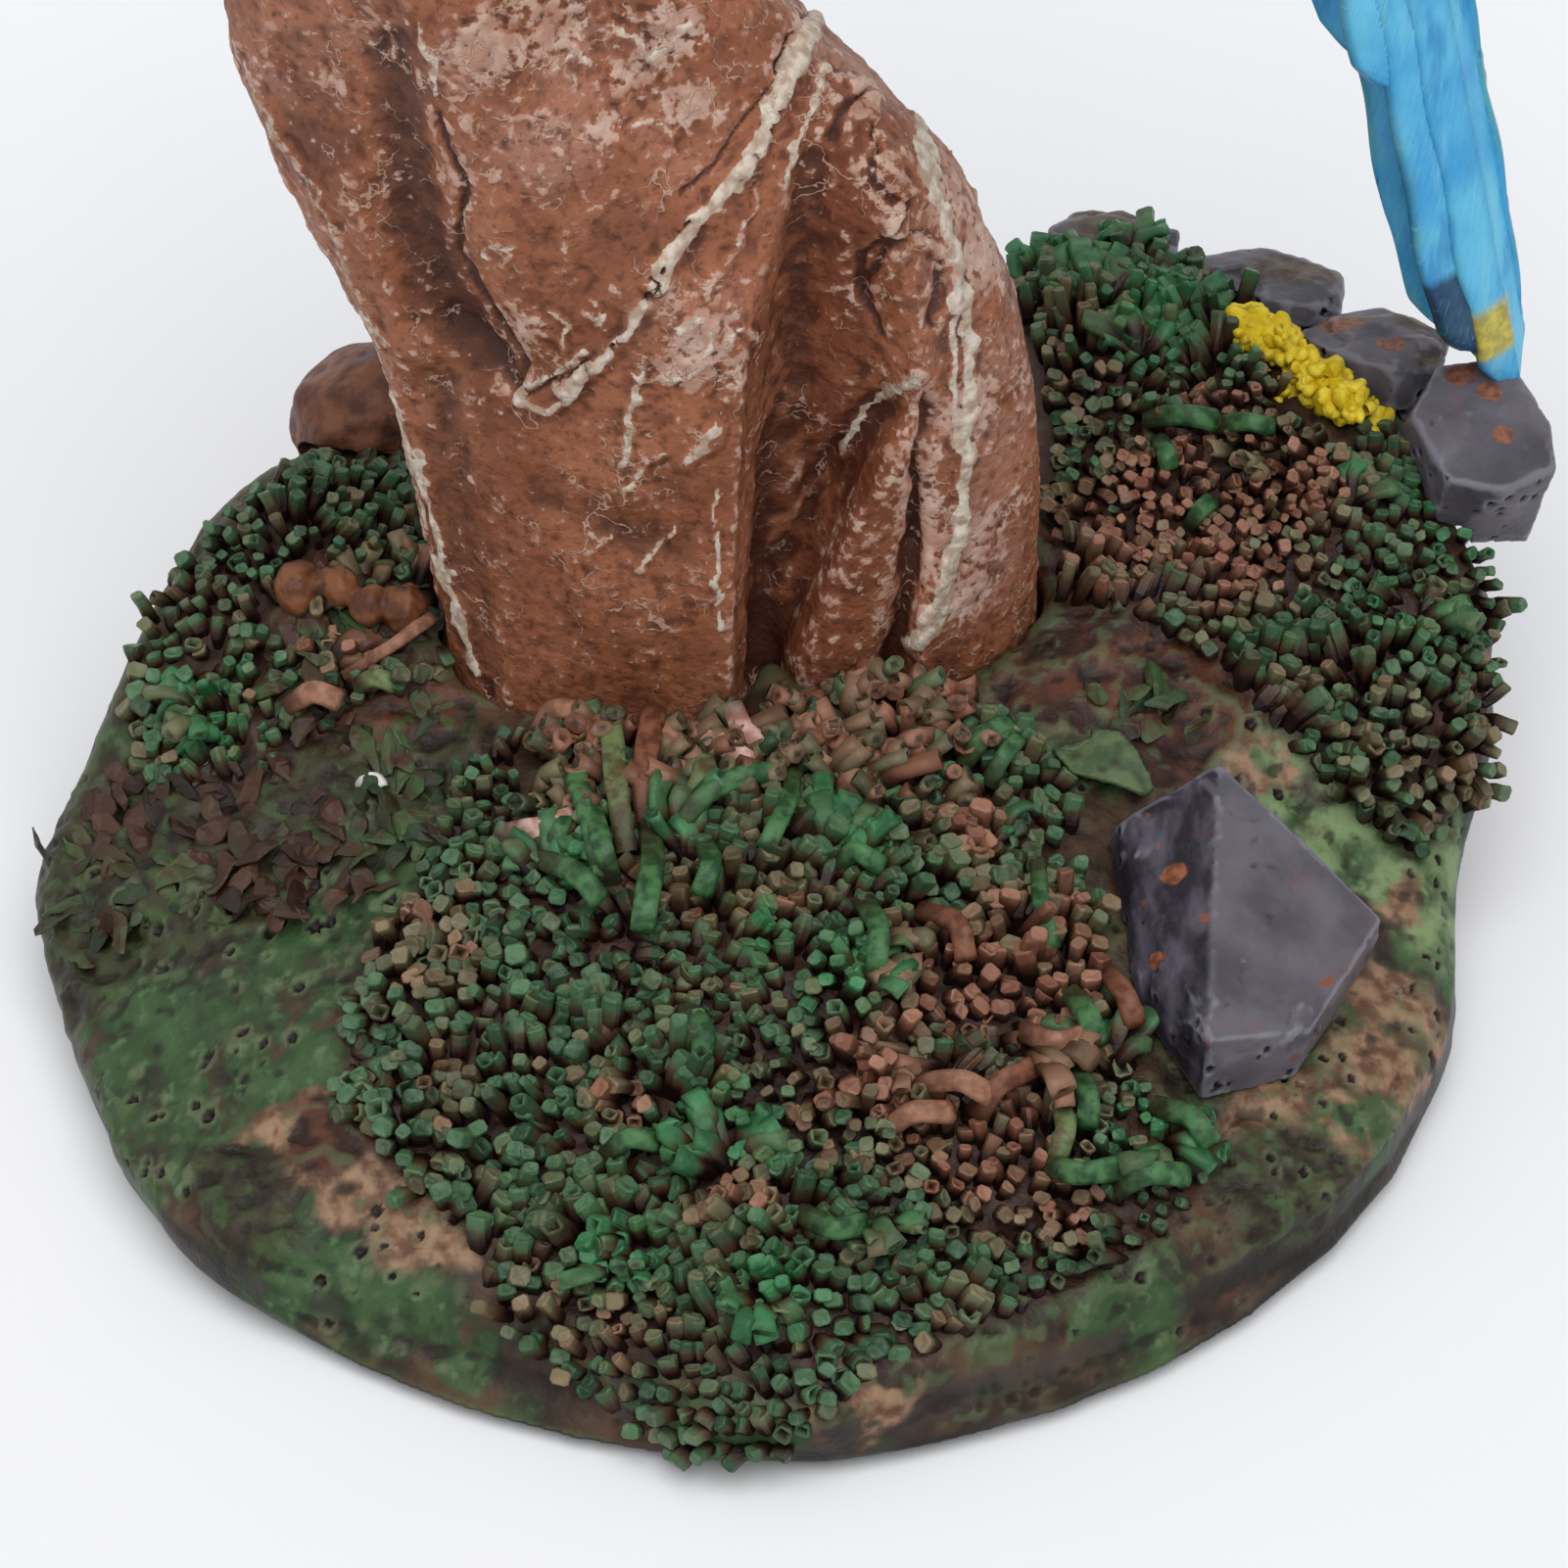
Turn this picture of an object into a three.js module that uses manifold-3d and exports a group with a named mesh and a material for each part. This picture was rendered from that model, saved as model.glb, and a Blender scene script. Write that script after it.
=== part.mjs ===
// A hand-painted cast-resin ornament: a blue-and-yellow macaw perched on a gnarled, hollow tree trunk, which
// stands in a round mound of moss and slate. Millimetres, +Z up. The origin is the middle of the felt's
// underside, -Y is the front, and the tail hangs on the +X side. The bird is built in a frame of its own,
// with +X the way that it faces, +Y its left side and the origin at its rump.
import * as THREE from 'three';
import { ConvexGeometry } from 'three/addons/geometries/ConvexGeometry.js';
import { mergeVertices } from 'three/addons/utils/BufferGeometryUtils.js';
import Module from 'manifold-3d';

// Clearance between pieces that are glued to each other, and the distance at which a mesh's corners are one
const seat = 0.3;
const weldDistance = 1e-4;

// Felt and mound: the tables go round from +X, or from the wall's foot to the mound's middle
const footRadius = 54.5;
const feltThickness = 1;
const feltInset = 2.5;
const moundHeight = 24;
const wallRound = 1.2;
const slopeCurve = 1.5;
const moundSides = 38;
const rimRadiusShares = [
  1.0, 1.13, 1.14, 1.175, 1.14, 1.08, 1.01, 0.98, 0.97, 0.96, 0.955, 0.975,
  1.045, 1.01, 1.04, 1.01, 0.92, 0.92, 1.03, 0.96, 0.945, 0.965, 1.01, 0.997,
];
const rimHeightShares = [
  0.5, 0.8, 0.94, 0.96, 0.95, 0.88, 0.8, 0.8, 0.85, 0.88, 0.84, 0.64,
  0.36, 0.3, 0.3, 0.3, 0.3, 0.3, 0.27, 0.3, 0.3, 0.3, 0.32, 0.36,
];
const wallShares = [[0.05, 0.1], [0.4, 0.75], [0.8, 1.0]];
const groundRingShares = [0.975, 0.88, 0.74, 0.58, 0.4, 0.2];
const hills = [
  { degrees: 40, outShare: 0.9, height: 7, spread: 17 },
  { degrees: 64, outShare: 0.86, height: 6.5, spread: 10 },
  { degrees: 152, outShare: 0.84, height: 7, spread: 12 },
];

// Moss and grass: outlines in shares of the foot's radius
const mossThickness = 1.6;
const stubPitch = 7.7;
const stubWidth = 2.5;
const stubHeight = 3.6;
const stubUneven = 0.9;
const mossPatches = [
  {
    name: 'front_moss',
    seed: 3,
    shares: [
      [-0.43, 0.0], [-0.34, 0.03], [-0.34, -0.09], [0.3, -0.09], [0.3, 0.03], [0.42, 0.03], [0.43, -0.16],
      [0.46, -0.34], [0.5, -0.46], [0.6, -0.62], [0.55, -0.71], [0.44, -0.78], [0.35, -0.84], [0.22, -0.9],
      [0.06, -0.94], [-0.08, -0.94], [-0.2, -0.9], [-0.29, -0.84], [-0.36, -0.77], [-0.46, -0.66],
      [-0.57, -0.55], [-0.58, -0.42], [-0.54, -0.28], [-0.46, -0.16],
    ],
  },
  {
    name: 'left_moss',
    seed: 5,
    shares: [
      [-0.9, 0.07], [-0.8, 0.02], [-0.7, 0.02], [-0.6, 0.08], [-0.47, 0.14], [-0.47, 0.45], [-0.5, 0.6],
      [-0.62, 0.6], [-0.73, 0.48], [-0.83, 0.33], [-0.9, 0.2],
    ],
  },
  {
    name: 'right_moss',
    seed: 7,
    shares: [
      [0.42, 0.25], [0.52, 0.23], [0.65, 0.18], [0.72, 0.09], [0.85, 0.0], [0.93, -0.05], [0.99, 0.04], [1.05, 0.14],
      [1.07, 0.3], [1.03, 0.42], [0.94, 0.55], [0.8, 0.66], [0.74, 0.8], [0.62, 0.9], [0.48, 0.94], [0.38, 0.84],
      [0.42, 0.6],
    ],
  },
  {
    name: 'rear_moss',
    seed: 9,
    shares: [[-0.36, 0.62], [-0.42, 0.78], [-0.16, 0.9], [0.14, 0.92], [0.32, 0.84], [0.3, 0.64], [0.0, 0.6]],
  },
];
const grassShares = [[-0.32, 0.1], [-0.32, -0.07], [0.28, -0.07], [0.28, 0.1]];
const bladeThickness = 1.3;
const bladeLength = 9;
const bladeBend = 4.5;
const bladeCount = 8;

// Slates, boulder and the small things that lie on the mound; a tilt is in degrees about X, Y and Z
const slabShares = [
  [-0.5, -0.3, 0.32], [-0.16, -0.5, 0.4], [0.3, -0.44, 0.44], [0.5, -0.06, 0.36], [0.36, 0.42, 0.5],
  [-0.14, 0.5, 0.42], [-0.46, 0.26, 0.26], [-0.42, -0.34, -0.5], [0.34, -0.46, -0.5], [0.44, 0.3, -0.5],
  [-0.38, 0.4, -0.5],
];
const wedgeShares = [
  [-0.15, 0.45, 0.5], [-0.16, -0.44, 0.5], [0.45, 0.07, 0.36], [0.2, -0.33, 0.38], [-0.45, 0.29, 0.0],
  [-0.34, -0.2, -0.05], [-0.46, 0.3, -0.5], [-0.04, 0.5, -0.5], [0.5, 0.09, -0.5], [0.22, -0.37, -0.5],
  [-0.09, -0.5, -0.5], [-0.36, -0.22, -0.5],
];
const slates = [
  { name: 'front_slate', size: [22.5, 28, 8], degrees: -23, outShare: 0.72, lift: 3, tilt: [15, 14, 0] },
  { name: 'corner_slate', size: [11, 13, 10], degrees: 26.5, outShare: 1.02, lift: 2, tilt: [16, 6, 24] },
  { name: 'rear_slate_right', size: [12, 9, 9], degrees: 38, outShare: 0.985, lift: -1, tilt: [-8, 4, -32] },
  { name: 'rear_slate_middle', size: [15, 8, 9], degrees: 49.5, outShare: 0.985, lift: -2.2, tilt: [-10, -4, -38] },
  { name: 'rear_slate_left', size: [11, 8, 9], degrees: 62, outShare: 0.985, lift: -2.4, tilt: [-8, 8, -30] },
];
const boulder = { radius: 8.5, degrees: 129, outShare: 0.93, sunk: 6, flatShare: 0.8 };
const leaf = { length: 10.5, width: 6.5, thickness: 0.8, degrees: 0, outShare: 0.47, lift: 1.2, turn: -38 };
const lichen = { radius: 2.2, count: 5, degrees: 40, outShare: 0.885, step: 2.85, turn: -50, lift: 1.2 };
const seeds = { radius: 2.1, count: 4, degrees: 158, outShare: 0.66, step: 2.85, turn: -18, lift: 1.2 };
const beadStagger = 0.9;

// Trunk: the tables go from its foot to its top
const trunkHeight = 100;
const trunkSunk = 12;
const trunkHalfWidth = 24.8;
const trunkHalfDepth = 14.5;
const trunkBack = 16;
const trunkLean = 20.5;
const trunkSides = 32;
const trunkRings = 16;
const trunkLeanShares = [0.12, 0.12, 0.14, 0.19, 0.31, 0.52, 0.83, 1.0, 0.98, 0.9];
const trunkWidthShares = [1.0, 0.96, 0.972, 0.988, 1.0, 1.004, 0.855, 0.726, 0.645, 0.52];
const trunkDepthShares = [1.06, 1.0, 0.98, 0.96, 0.95, 0.93, 0.9, 0.86, 0.8, 0.7];
const barkFold = 0.9;
const barkFolds = 5;
const brokenRise = 3;

// Hollow in the trunk's front, and the root that stands in it: the tables go up from the trunk's foot
const hollowHeight = 76;
const hollowHalfWidth = 7;
const hollowDepth = 11;
const hollowRight = 4.6;
const hollowLean = 2.5;
const hollowSides = 12;
const hollowWidthShares = [1.05, 1.05, 1.05, 1.0, 0.8, 0.35];
const hollowDepthShares = [1.0, 1.0, 0.9, 0.7, 0.42, 0.12];
const ribWidth = 12;
const ribDepth = 6;
const ribHeight = 40;
const ribLean = 7;
const ribWidthShares = [0.95, 0.95, 0.6, 0.08];

// Broken branch on the left
const branchRadius = 6.5;
const branchLength = 30;
const branchDrop = 20;
const branchOutDegrees = 150;
const branchUpDegrees = 62;

// Perch limb
const perchRadius = 5.6;
const limbRootRadius = 8;
const limbSides = 12;
const limbRings = 15;
const limbRagged = 1.5;
const limbSocket = 7;
const limbSocketDrop = 18;
const limbBow = 13;
const perchBefore = 13;
const perchAfter = 15;
const perchDrop = 4;

// Where the bird sits: its rump in the object's frame, the way that it faces, and the perch under it
const rump = { x: 38.4, y: 25.8, aboveTrunk: 9 };
const facingDegrees = 200.7;
const gripForward = 14;
const gripBelow = 8;

// Body: the tables go from the tail's root to the neck
const bodyHalfWidth = 13.5;
const bodyHalfDepth = 14.5;
const spineForward = 22;
const spineHeight = 56;
const tailRootDrop = 9;
const bodySides = 18;
const bodyRings = 11;
const spineForwardShares = [-0.14, 0.0, 0.27, 0.5, 0.72, 0.9, 1.0];
const bodyWidthShares = [0.4, 0.64, 0.95, 1.0, 0.98, 0.8, 0.66];
const bodyDepthShares = [0.36, 0.6, 0.95, 1.0, 0.93, 0.75, 0.64];

// Head, beak and eyes
const headRadius = 9.9;
const headForward = 24;
const headRise = 62;
const headTurn = 24;
const headScaleShares = [1.05, 0.86, 0.98];
const headSides = 18;
const headBands = 10;
const beakSeatShare = 0.72;
const upperBeak = { length: 12.5, height: 9.6, width: 7.2, hook: 98, rise: 1.2, curl: 1 };
const lowerBeak = { length: 6.4, height: 5.2, width: 6, hook: 40, rise: -6.6, curl: -1 };
const beakRings = 7;
const beakSides = 8;
const eyeRadius = 1.5;
const eyeForwardShare = 0.44;
const eyeRiseShare = 0.24;
const eyeSunkShare = 0.45;

// Wings: the tables go from the shoulder to the tip, as shares of the half turn from front to back
const wingTop = 47;
const wingBottom = -30;
const wingLift = 0.9;
const wingInnerColumns = 6;
const wingFrontShares = [0.46, 0.34, 0.35, 0.4, 0.46, 0.56, 0.7, 0.84];
const wingRearShares = [0.74, 0.9, 0.96, 0.97, 0.97, 0.97, 0.97, 0.96];
const wingFanShare = 0.3;
const wingNotchShare = 0.03;
const wingStepShare = 0.006;
const wingRows = [
  { fromShare: 0, toShare: 0.2, layer: 2.5 },
  { fromShare: 0.2, toShare: 0.38, layer: 2.0 },
  { fromShare: 0.38, toShare: 0.58, layer: 1.5 },
  { fromShare: 0.58, toShare: 1, layer: 1.0 },
];
const vaneCount = 5;
const vaneThickness = 1.1;
const vaneEdge = 0.25;
const vaneRise = 0.6;

// Tail: its tip ends above the mound's top, and the tables go from the central feather to the outer one
const tailTipRise = 8.5;
const tailBack = 21;
const tailFeatherWidth = 8.6;
const tailFeatherThickness = 1;
const tailFeatherShares = [[0, 0.4], [0.35, 0.95], [0.85, 0.9], [1, 0.25]];
const tailGap = 0.4;
const tailDepth = 8.6;
const tailSpread = 2.6;
const tailRoll = 62;
const tailRootRadius = 3.6;
const tailSleeveHalfWidth = 9.6;
const tailSleeveHalfDepth = 9.6;
const tailLengthShares = [1.0, 0.93, 0.72, 0.58, 0.46, 0.36];
const tailUnderShares = [-0.15, 0.1, 0.36, 0.54, 0.68, 0.78];
const tailOutShares = [0.1, 0.42, 0.76, 0.96, 1.1, 1.2];
const covertLength = 24;
const covertStand = 7.4;
const covertSpan = 75;
const covertCount = 4;
const covertColumns = 6;
const covertRowShares = [0, 0.5, 0.85, 1];
const covertNotchShare = 0.12;

// Legs and feet
const footSpacing = 6.6;
const thighRadius = 5.2;
const thighLength = 13;
const thighSides = 10;
const thighShares = [[0, 0.45], [0.3, 0.8], [0.65, 1], [1, 0.9]];
const ankleShare = 0.18;
const shankRadius = 1.9;
const toePadRadius = 2.2;
const toeRadius = 1.35;
const toeSeat = 0.45;
const toeSides = 5;
const toeRings = 5;
const toeSplay = 2.1;
const frontToeDegrees = 118;
const rearToeDegrees = 104;
const clawShare = 0.3;
const clawTipShare = 0.2;
const pinRadius = 0.7;
const pinBore = 0.95;
const pinInPerch = 5;
const pinInBody = 9;

const turn = 2 * Math.PI;
const rad = THREE.MathUtils.degToRad;
const V = (x, y, z) => new THREE.Vector3(x, y, z);
const wasm = await Module();
wasm.setup();

// Solids

function solidOf(geometry) {
  const bare = new THREE.BufferGeometry();
  bare.setAttribute('position', geometry.getAttribute('position'));
  if (geometry.index) bare.setIndex(geometry.index);
  const merged = mergeVertices(bare, weldDistance);
  return new wasm.Manifold(new wasm.Mesh({
    numProp: 3,
    vertProperties: new Float32Array(merged.getAttribute('position').array),
    triVerts: new Uint32Array(merged.index.array),
  }));
}

function geometryOf(solid) {
  const mesh = solid.getMesh();
  const geometry = new THREE.BufferGeometry();
  geometry.setAttribute('position', new THREE.BufferAttribute(new Float32Array(mesh.vertProperties), 3));
  geometry.setIndex(new THREE.BufferAttribute(new Uint32Array(mesh.triVerts), 1));
  return geometry;
}

const join = (solids) => solids.reduce((all, one) => all.add(one));
const cut = (solid, tools) => tools.reduce((left, tool) => left.subtract(tool), solid);

// The largest connected body of a solid, without the crumbs that a cut can leave
const largest = (solid) => solid.decompose().reduce((best, one) => (one.volume() > best.volume() ? one : best));

// A closed skin over a stack of rings with equal numbers of points, with a fan across each end.
function skin(rings) {
  const sides = rings[0].length;
  const middle = (ring) => ring.reduce((sum, p) => sum.add(p), V(0, 0, 0)).divideScalar(sides);
  const points = [...rings.flat(), middle(rings[0]), middle(rings[rings.length - 1])];
  const last = (rings.length - 1) * sides;
  const faces = [];
  for (let s = 0; s < sides; s += 1) {
    const after = (s + 1) % sides;
    for (let here = s, next = after; here < last; here += sides, next += sides) {
      faces.push([here, next, here + sides], [next, next + sides, here + sides]);
    }
    faces.push([after, s, rings.length * sides], [last + s, last + after, rings.length * sides + 1]);
  }
  const volume = faces.reduce((sum, [a, b, c]) => sum + points[a].dot(points[b].clone().cross(points[c])), 0);
  const geometry = new THREE.BufferGeometry().setFromPoints(points);
  geometry.setIndex(faces.flatMap(([a, b, c]) => (volume > 0 ? [a, b, c] : [a, c, b])));
  return solidOf(geometry);
}

function prism(corners, bottom, top) {
  const shape = new THREE.Shape(corners.map(([x, y]) => new THREE.Vector2(x, y)));
  const geometry = new THREE.ExtrudeGeometry(shape, { depth: top - bottom, bevelEnabled: false });
  return solidOf(geometry.translate(0, 0, bottom));
}

function ball(radius, centre, scale = V(1, 1, 1), widthSegments = 12, heightSegments = 8) {
  const geometry = new THREE.SphereGeometry(radius, widthSegments, heightSegments);
  return solidOf(geometry.scale(scale.x, scale.y, scale.z).translate(centre.x, centre.y, centre.z));
}

// A round bar from one point to another.
function bar(start, end, radius, sides = 10) {
  const way = end.clone().sub(start);
  const geometry = new THREE.CylinderGeometry(radius, radius, way.length(), sides);
  geometry.applyQuaternion(new THREE.Quaternion().setFromUnitVectors(V(0, 1, 0), way.clone().normalize()));
  const middle = start.clone().lerp(end, 0.5);
  return solidOf(geometry.translate(middle.x, middle.y, middle.z));
}

// Smooth curves through tables

function spline(before, from, to, after, share) {
  const square = share * share;
  return 0.5 * (2 * from + (to - before) * share + (2 * before - 5 * from + 4 * to - after) * square
    + (3 * from - before - 3 * to + after) * square * share);
}

// The value of a closed table at an angle.
function around(shares, angle) {
  const count = shares.length;
  const place = ((((angle / turn) % 1) + 1) % 1) * count;
  const start = Math.floor(place);
  const at = (step) => shares[(start + step + count) % count];
  return spline(at(-1), at(0), at(1), at(2), place - start);
}

// The value of an open table at a share of its length.
function along(shares, share) {
  const last = shares.length - 1;
  const place = THREE.MathUtils.clamp(share, 0, 1) * last;
  const start = Math.min(Math.floor(place), last - 1);
  const at = (step) => shares[THREE.MathUtils.clamp(start + step, 0, last)];
  return spline(at(-1), at(0), at(1), at(2), place - start);
}

function seededRandom(seed) {
  let state = seed;
  return () => {
    state = (state * 1664525 + 1013904223) % 4294967296;
    return state / 4294967296;
  };
}

// Mound

const rimRadiusAt = (angle) => footRadius * around(rimRadiusShares, angle);

// A place on the mound, from the angle round it and the share of the way out to its rim.
function onMound({ degrees, outShare }) {
  const reach = rimRadiusAt(rad(degrees)) * outShare;
  return { x: reach * Math.cos(rad(degrees)), y: reach * Math.sin(rad(degrees)) };
}

function groundHeight(x, y) {
  const angle = Math.atan2(y, x);
  const out = Math.min(Math.hypot(x, y) / rimRadiusAt(angle), 1);
  const edge = moundHeight * around(rimHeightShares, angle);
  const slope = moundHeight + (edge - moundHeight) * out ** slopeCurve;
  return hills.reduce((height, hill) => {
    const middle = onMound(hill);
    const off = (x - middle.x) ** 2 + (y - middle.y) ** 2;
    return height + hill.height * Math.exp(-off / (2 * hill.spread ** 2));
  }, slope);
}

function groundPoint(place) {
  const { x, y } = onMound(place);
  return V(x, y, groundHeight(x, y) + place.lift);
}

// The mound's solid, made larger all round by grow.
function mound(grow) {
  const ringAt = (radiusAt, heightAt) => Array.from({ length: moundSides }, (_, i) => {
    const angle = (i * turn) / moundSides;
    const radius = radiusAt(angle);
    const [x, y] = [radius * Math.cos(angle), radius * Math.sin(angle)];
    return V(x, y, heightAt(x, y, angle));
  });
  const edgeAt = (angle) => groundHeight(rimRadiusAt(angle) * Math.cos(angle), rimRadiusAt(angle) * Math.sin(angle));
  const wall = wallShares.map(([heightShare, spreadShare]) => ringAt(
    (angle) => THREE.MathUtils.lerp(footRadius, rimRadiusAt(angle), spreadShare) + grow,
    (x, y, angle) => THREE.MathUtils.lerp(feltThickness, edgeAt(angle), heightShare),
  ));
  const ground = groundRingShares.map((outShare, i) => ringAt(
    (angle) => rimRadiusAt(angle) * outShare + (i === 0 ? grow : 0),
    (x, y) => groundHeight(x, y) + grow,
  ));
  return skin([ringAt(() => footRadius - wallRound + grow, () => feltThickness - grow), ...wall, ...ground]);
}

function feltDisc() {
  const radius = footRadius - feltInset;
  const geometry = new THREE.CylinderGeometry(radius, radius, feltThickness, moundSides);
  return solidOf(geometry.rotateX(Math.PI / 2).translate(0, 0, feltThickness / 2));
}

// Moss and grass

const highest = 2 * moundHeight;
const inFootRadii = (shares) => shares.map(([x, y]) => [x * footRadius, y * footRadius]);

function inside(corners, x, y) {
  return corners.reduce((within, [ax, ay], i) => {
    const [bx, by] = corners[(i + 1) % corners.length];
    const crosses = (ay > y) !== (by > y) && x < ((bx - ax) * (y - ay)) / (by - ay) + ax;
    return crosses ? !within : within;
  }, false);
}

// A sheet that follows the ground inside an outline.
const groundSheet = (corners) => mound(mossThickness).intersect(prism(corners, feltThickness, highest));

function mossStub(x, y, angle, height) {
  const corners = [1, 3, 5, 7].map((eighth) => {
    const spin = angle + (eighth * turn) / 8;
    return [x + stubWidth * Math.SQRT1_2 * Math.cos(spin), y + stubWidth * Math.SQRT1_2 * Math.sin(spin)];
  });
  return { corners, solid: () => prism(corners, groundHeight(x, y) + seat, groundHeight(x, y) + height) };
}

// A sheet of moss with short square stubs standing on it.
function mossPatch(shares, seed) {
  const outline = inFootRadii(shares);
  const random = seededRandom(seed);
  const cells = Math.ceil((2 * footRadius) / stubPitch);
  const stubs = Array.from({ length: cells * cells }, (_, i) => {
    const column = i % cells;
    const row = Math.floor(i / cells);
    const x = (column + (row % 2) / 2 + (random() - 0.5) / 2) * stubPitch - footRadius;
    const y = (row + (random() - 0.5) / 2) * stubPitch - footRadius;
    return mossStub(x, y, random(), stubHeight + stubUneven * (random() - 0.5));
  });
  const kept = stubs.filter(({ corners }) => corners.every(([x, y]) => inside(outline, x, y)));
  return join([groundSheet(outline), ...kept.map(({ solid }) => solid())]);
}

// Longer, bent blades at the trunk's foot, on a pad of their own.
function grassTuft() {
  const outline = inFootRadii(grassShares);
  const random = seededRandom(11);
  const [left, front] = outline[1];
  const width = outline[2][0] - left;
  const blades = Array.from({ length: bladeCount }, (_, i) => {
    const x = left + (width * (i + 0.5 + (random() - 0.5) / 2)) / bladeCount;
    const y = front + bladeThickness * (1 + random());
    const lean = 2 * random() - 1;
    const length = bladeLength * (0.75 + random() / 2);
    const rings = [0, 0.4, 0.75, 1].map((share) => {
      const rise = V(lean * bladeBend * share, -bladeBend * share * share, length * share);
      const half = (bladeThickness * (1 - 0.4 * share)) / 2;
      return [[-1, -1], [1, -1], [1, 1], [-1, 1]].map(([a, b]) => (
        V(x + a * half, y + b * half, groundHeight(x, y)).add(rise)
      ));
    });
    return skin(rings);
  });
  return join([groundSheet(outline), ...blades]);
}

// Slates, boulder and small things

// A broken slab, made larger all round by grow.
function slate({ name, size, degrees, outShare, lift, tilt }, grow) {
  const shares = name === 'front_slate' ? wedgeShares : slabShares;
  const corners = shares.map((share) => V(...share.map((value, axis) => value * (size[axis] + 2 * grow))));
  const leaning = new THREE.Matrix4().makeRotationFromEuler(new THREE.Euler(...tilt.map(rad), 'ZYX'));
  const geometry = new ConvexGeometry(corners).applyMatrix4(leaning);
  return solidOf(geometry.translate(...groundPoint({ degrees, outShare, lift }).toArray()));
}

function roundBoulder(grow) {
  const place = groundPoint({ ...boulder, lift: boulder.radius * boulder.flatShare - boulder.sunk });
  return ball(boulder.radius + grow, place, V(1, 0.85, boulder.flatShare));
}

// A flat leaf whose two ends droop to the ground.
function fallenLeaf() {
  const place = new THREE.Matrix4().makeRotationZ(rad(leaf.turn)).setPosition(groundPoint(leaf));
  const rings = [-0.5, -0.25, 0, 0.25, 0.5].map((share) => {
    const half = leaf.width * (0.5 - 0.8 * Math.abs(share));
    const droop = 4 * leaf.lift * share * share;
    return [[-half, 1], [0, 0.6], [half, 1], [half, 0], [0, -0.4], [-half, 0]].map(([side, up]) => (
      V(share * leaf.length, side, up * leaf.thickness - droop).applyMatrix4(place)
    ));
  });
  return skin(rings);
}

// A point beside a small thing's middle, along its own turned axes.
function beside(place, ahead, aside) {
  const { x, y } = onMound(place);
  const [c, s] = [Math.cos(rad(place.turn)), Math.sin(rad(place.turn))];
  return [x + ahead * c - aside * s, y + ahead * s + aside * c];
}

// A short crooked row of touching beads.
function beads(row) {
  const balls = Array.from({ length: row.count }, (_, i) => {
    const [x, y] = beside(row, row.step * (i - (row.count - 1) / 2), beadStagger * ((i % 2) - 0.5));
    return ball(row.radius * (1 - 0.12 * (i % 3)), V(x, y, groundHeight(x, y) + row.lift), V(1, 1, 1), 7, 5);
  });
  return join(balls);
}

// The oblong that a small thing needs in the moss.
function roomFor(place, halfLength, halfWidth) {
  const [long, wide] = [halfLength + seat, halfWidth + seat];
  const corners = [[-long, -wide], [long, -wide], [long, wide], [-long, wide]];
  return prism(corners.map(([ahead, aside]) => beside(place, ahead, aside)), 0, highest);
}

// Trunk

const trunkBottom = moundHeight - trunkSunk;
const trunkTop = trunkBottom + trunkHeight;

function trunkAt(share) {
  return {
    x: -trunkLean * along(trunkLeanShares, share),
    halfWidth: trunkHalfWidth * along(trunkWidthShares, share),
    halfDepth: trunkHalfDepth * along(trunkDepthShares, share),
  };
}

function trunkColumn(grow) {
  const last = trunkRings - 1;
  const rings = Array.from({ length: trunkRings }, (_, r) => {
    const share = r / last;
    const { x, halfWidth, halfDepth } = trunkAt(share);
    return Array.from({ length: trunkSides }, (_side, s) => {
      const angle = (s * turn) / trunkSides;
      const fold = barkFold * Math.cos(barkFolds * angle + 3 * share) + grow;
      const broken = r === last ? brokenRise * Math.cos(4 * angle) + grow : 0;
      return V(
        x + (halfWidth + fold) * Math.cos(angle),
        trunkBack + (halfDepth + fold) * Math.sin(angle),
        trunkBottom + trunkHeight * share + broken - (r === 0 ? grow : 0),
      );
    });
  });
  const middle = V(trunkAt(1).x, trunkBack, trunkTop);
  rings.push(rings[last].map((point) => point.clone().lerp(middle, 0.45).add(V(0, 0, -brokenRise))));
  return skin(rings);
}

// The upright recess in the trunk's front, made smaller all round by shrink.
function hollow(shrink) {
  const last = hollowWidthShares.length - 1;
  const rings = hollowWidthShares.map((widthShare, i) => {
    const rise = (hollowHeight * i) / last;
    const front = trunkBack - trunkAt(rise / trunkHeight).halfDepth;
    const half = hollowHalfWidth * widthShare - shrink;
    const deep = hollowDepth * hollowDepthShares[i] - shrink;
    return Array.from({ length: hollowSides }, (_, s) => {
      const angle = ((s + 0.5) * turn) / hollowSides;
      const x = hollowRight + (hollowLean * i) / last + half * Math.cos(angle);
      return V(x, front + deep * Math.sin(angle), trunkBottom + rise);
    });
  });
  rings[0].forEach((point) => point.setZ(trunkBottom - hollowDepth));
  return skin(rings);
}

// The pointed root that stands inside the hollow.
function hollowRib(grow) {
  const back = trunkBack - trunkHalfDepth + hollowDepth - ribDepth / 2;
  const rings = ribWidthShares.map((widthShare, i) => {
    const share = i / (ribWidthShares.length - 1);
    const x = hollowRight + ribLean * share;
    const z = trunkBottom + ribHeight * share + (i === 0 ? -grow : grow);
    const across = (ribWidth * widthShare) / 2 + grow;
    const deep = ribDepth / 2 + grow;
    return Array.from({ length: 8 }, (_, s) => {
      const angle = (s * turn) / 8;
      return V(x + across * Math.cos(angle), back + deep * Math.sin(angle), z);
    });
  });
  return skin(rings);
}

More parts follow.
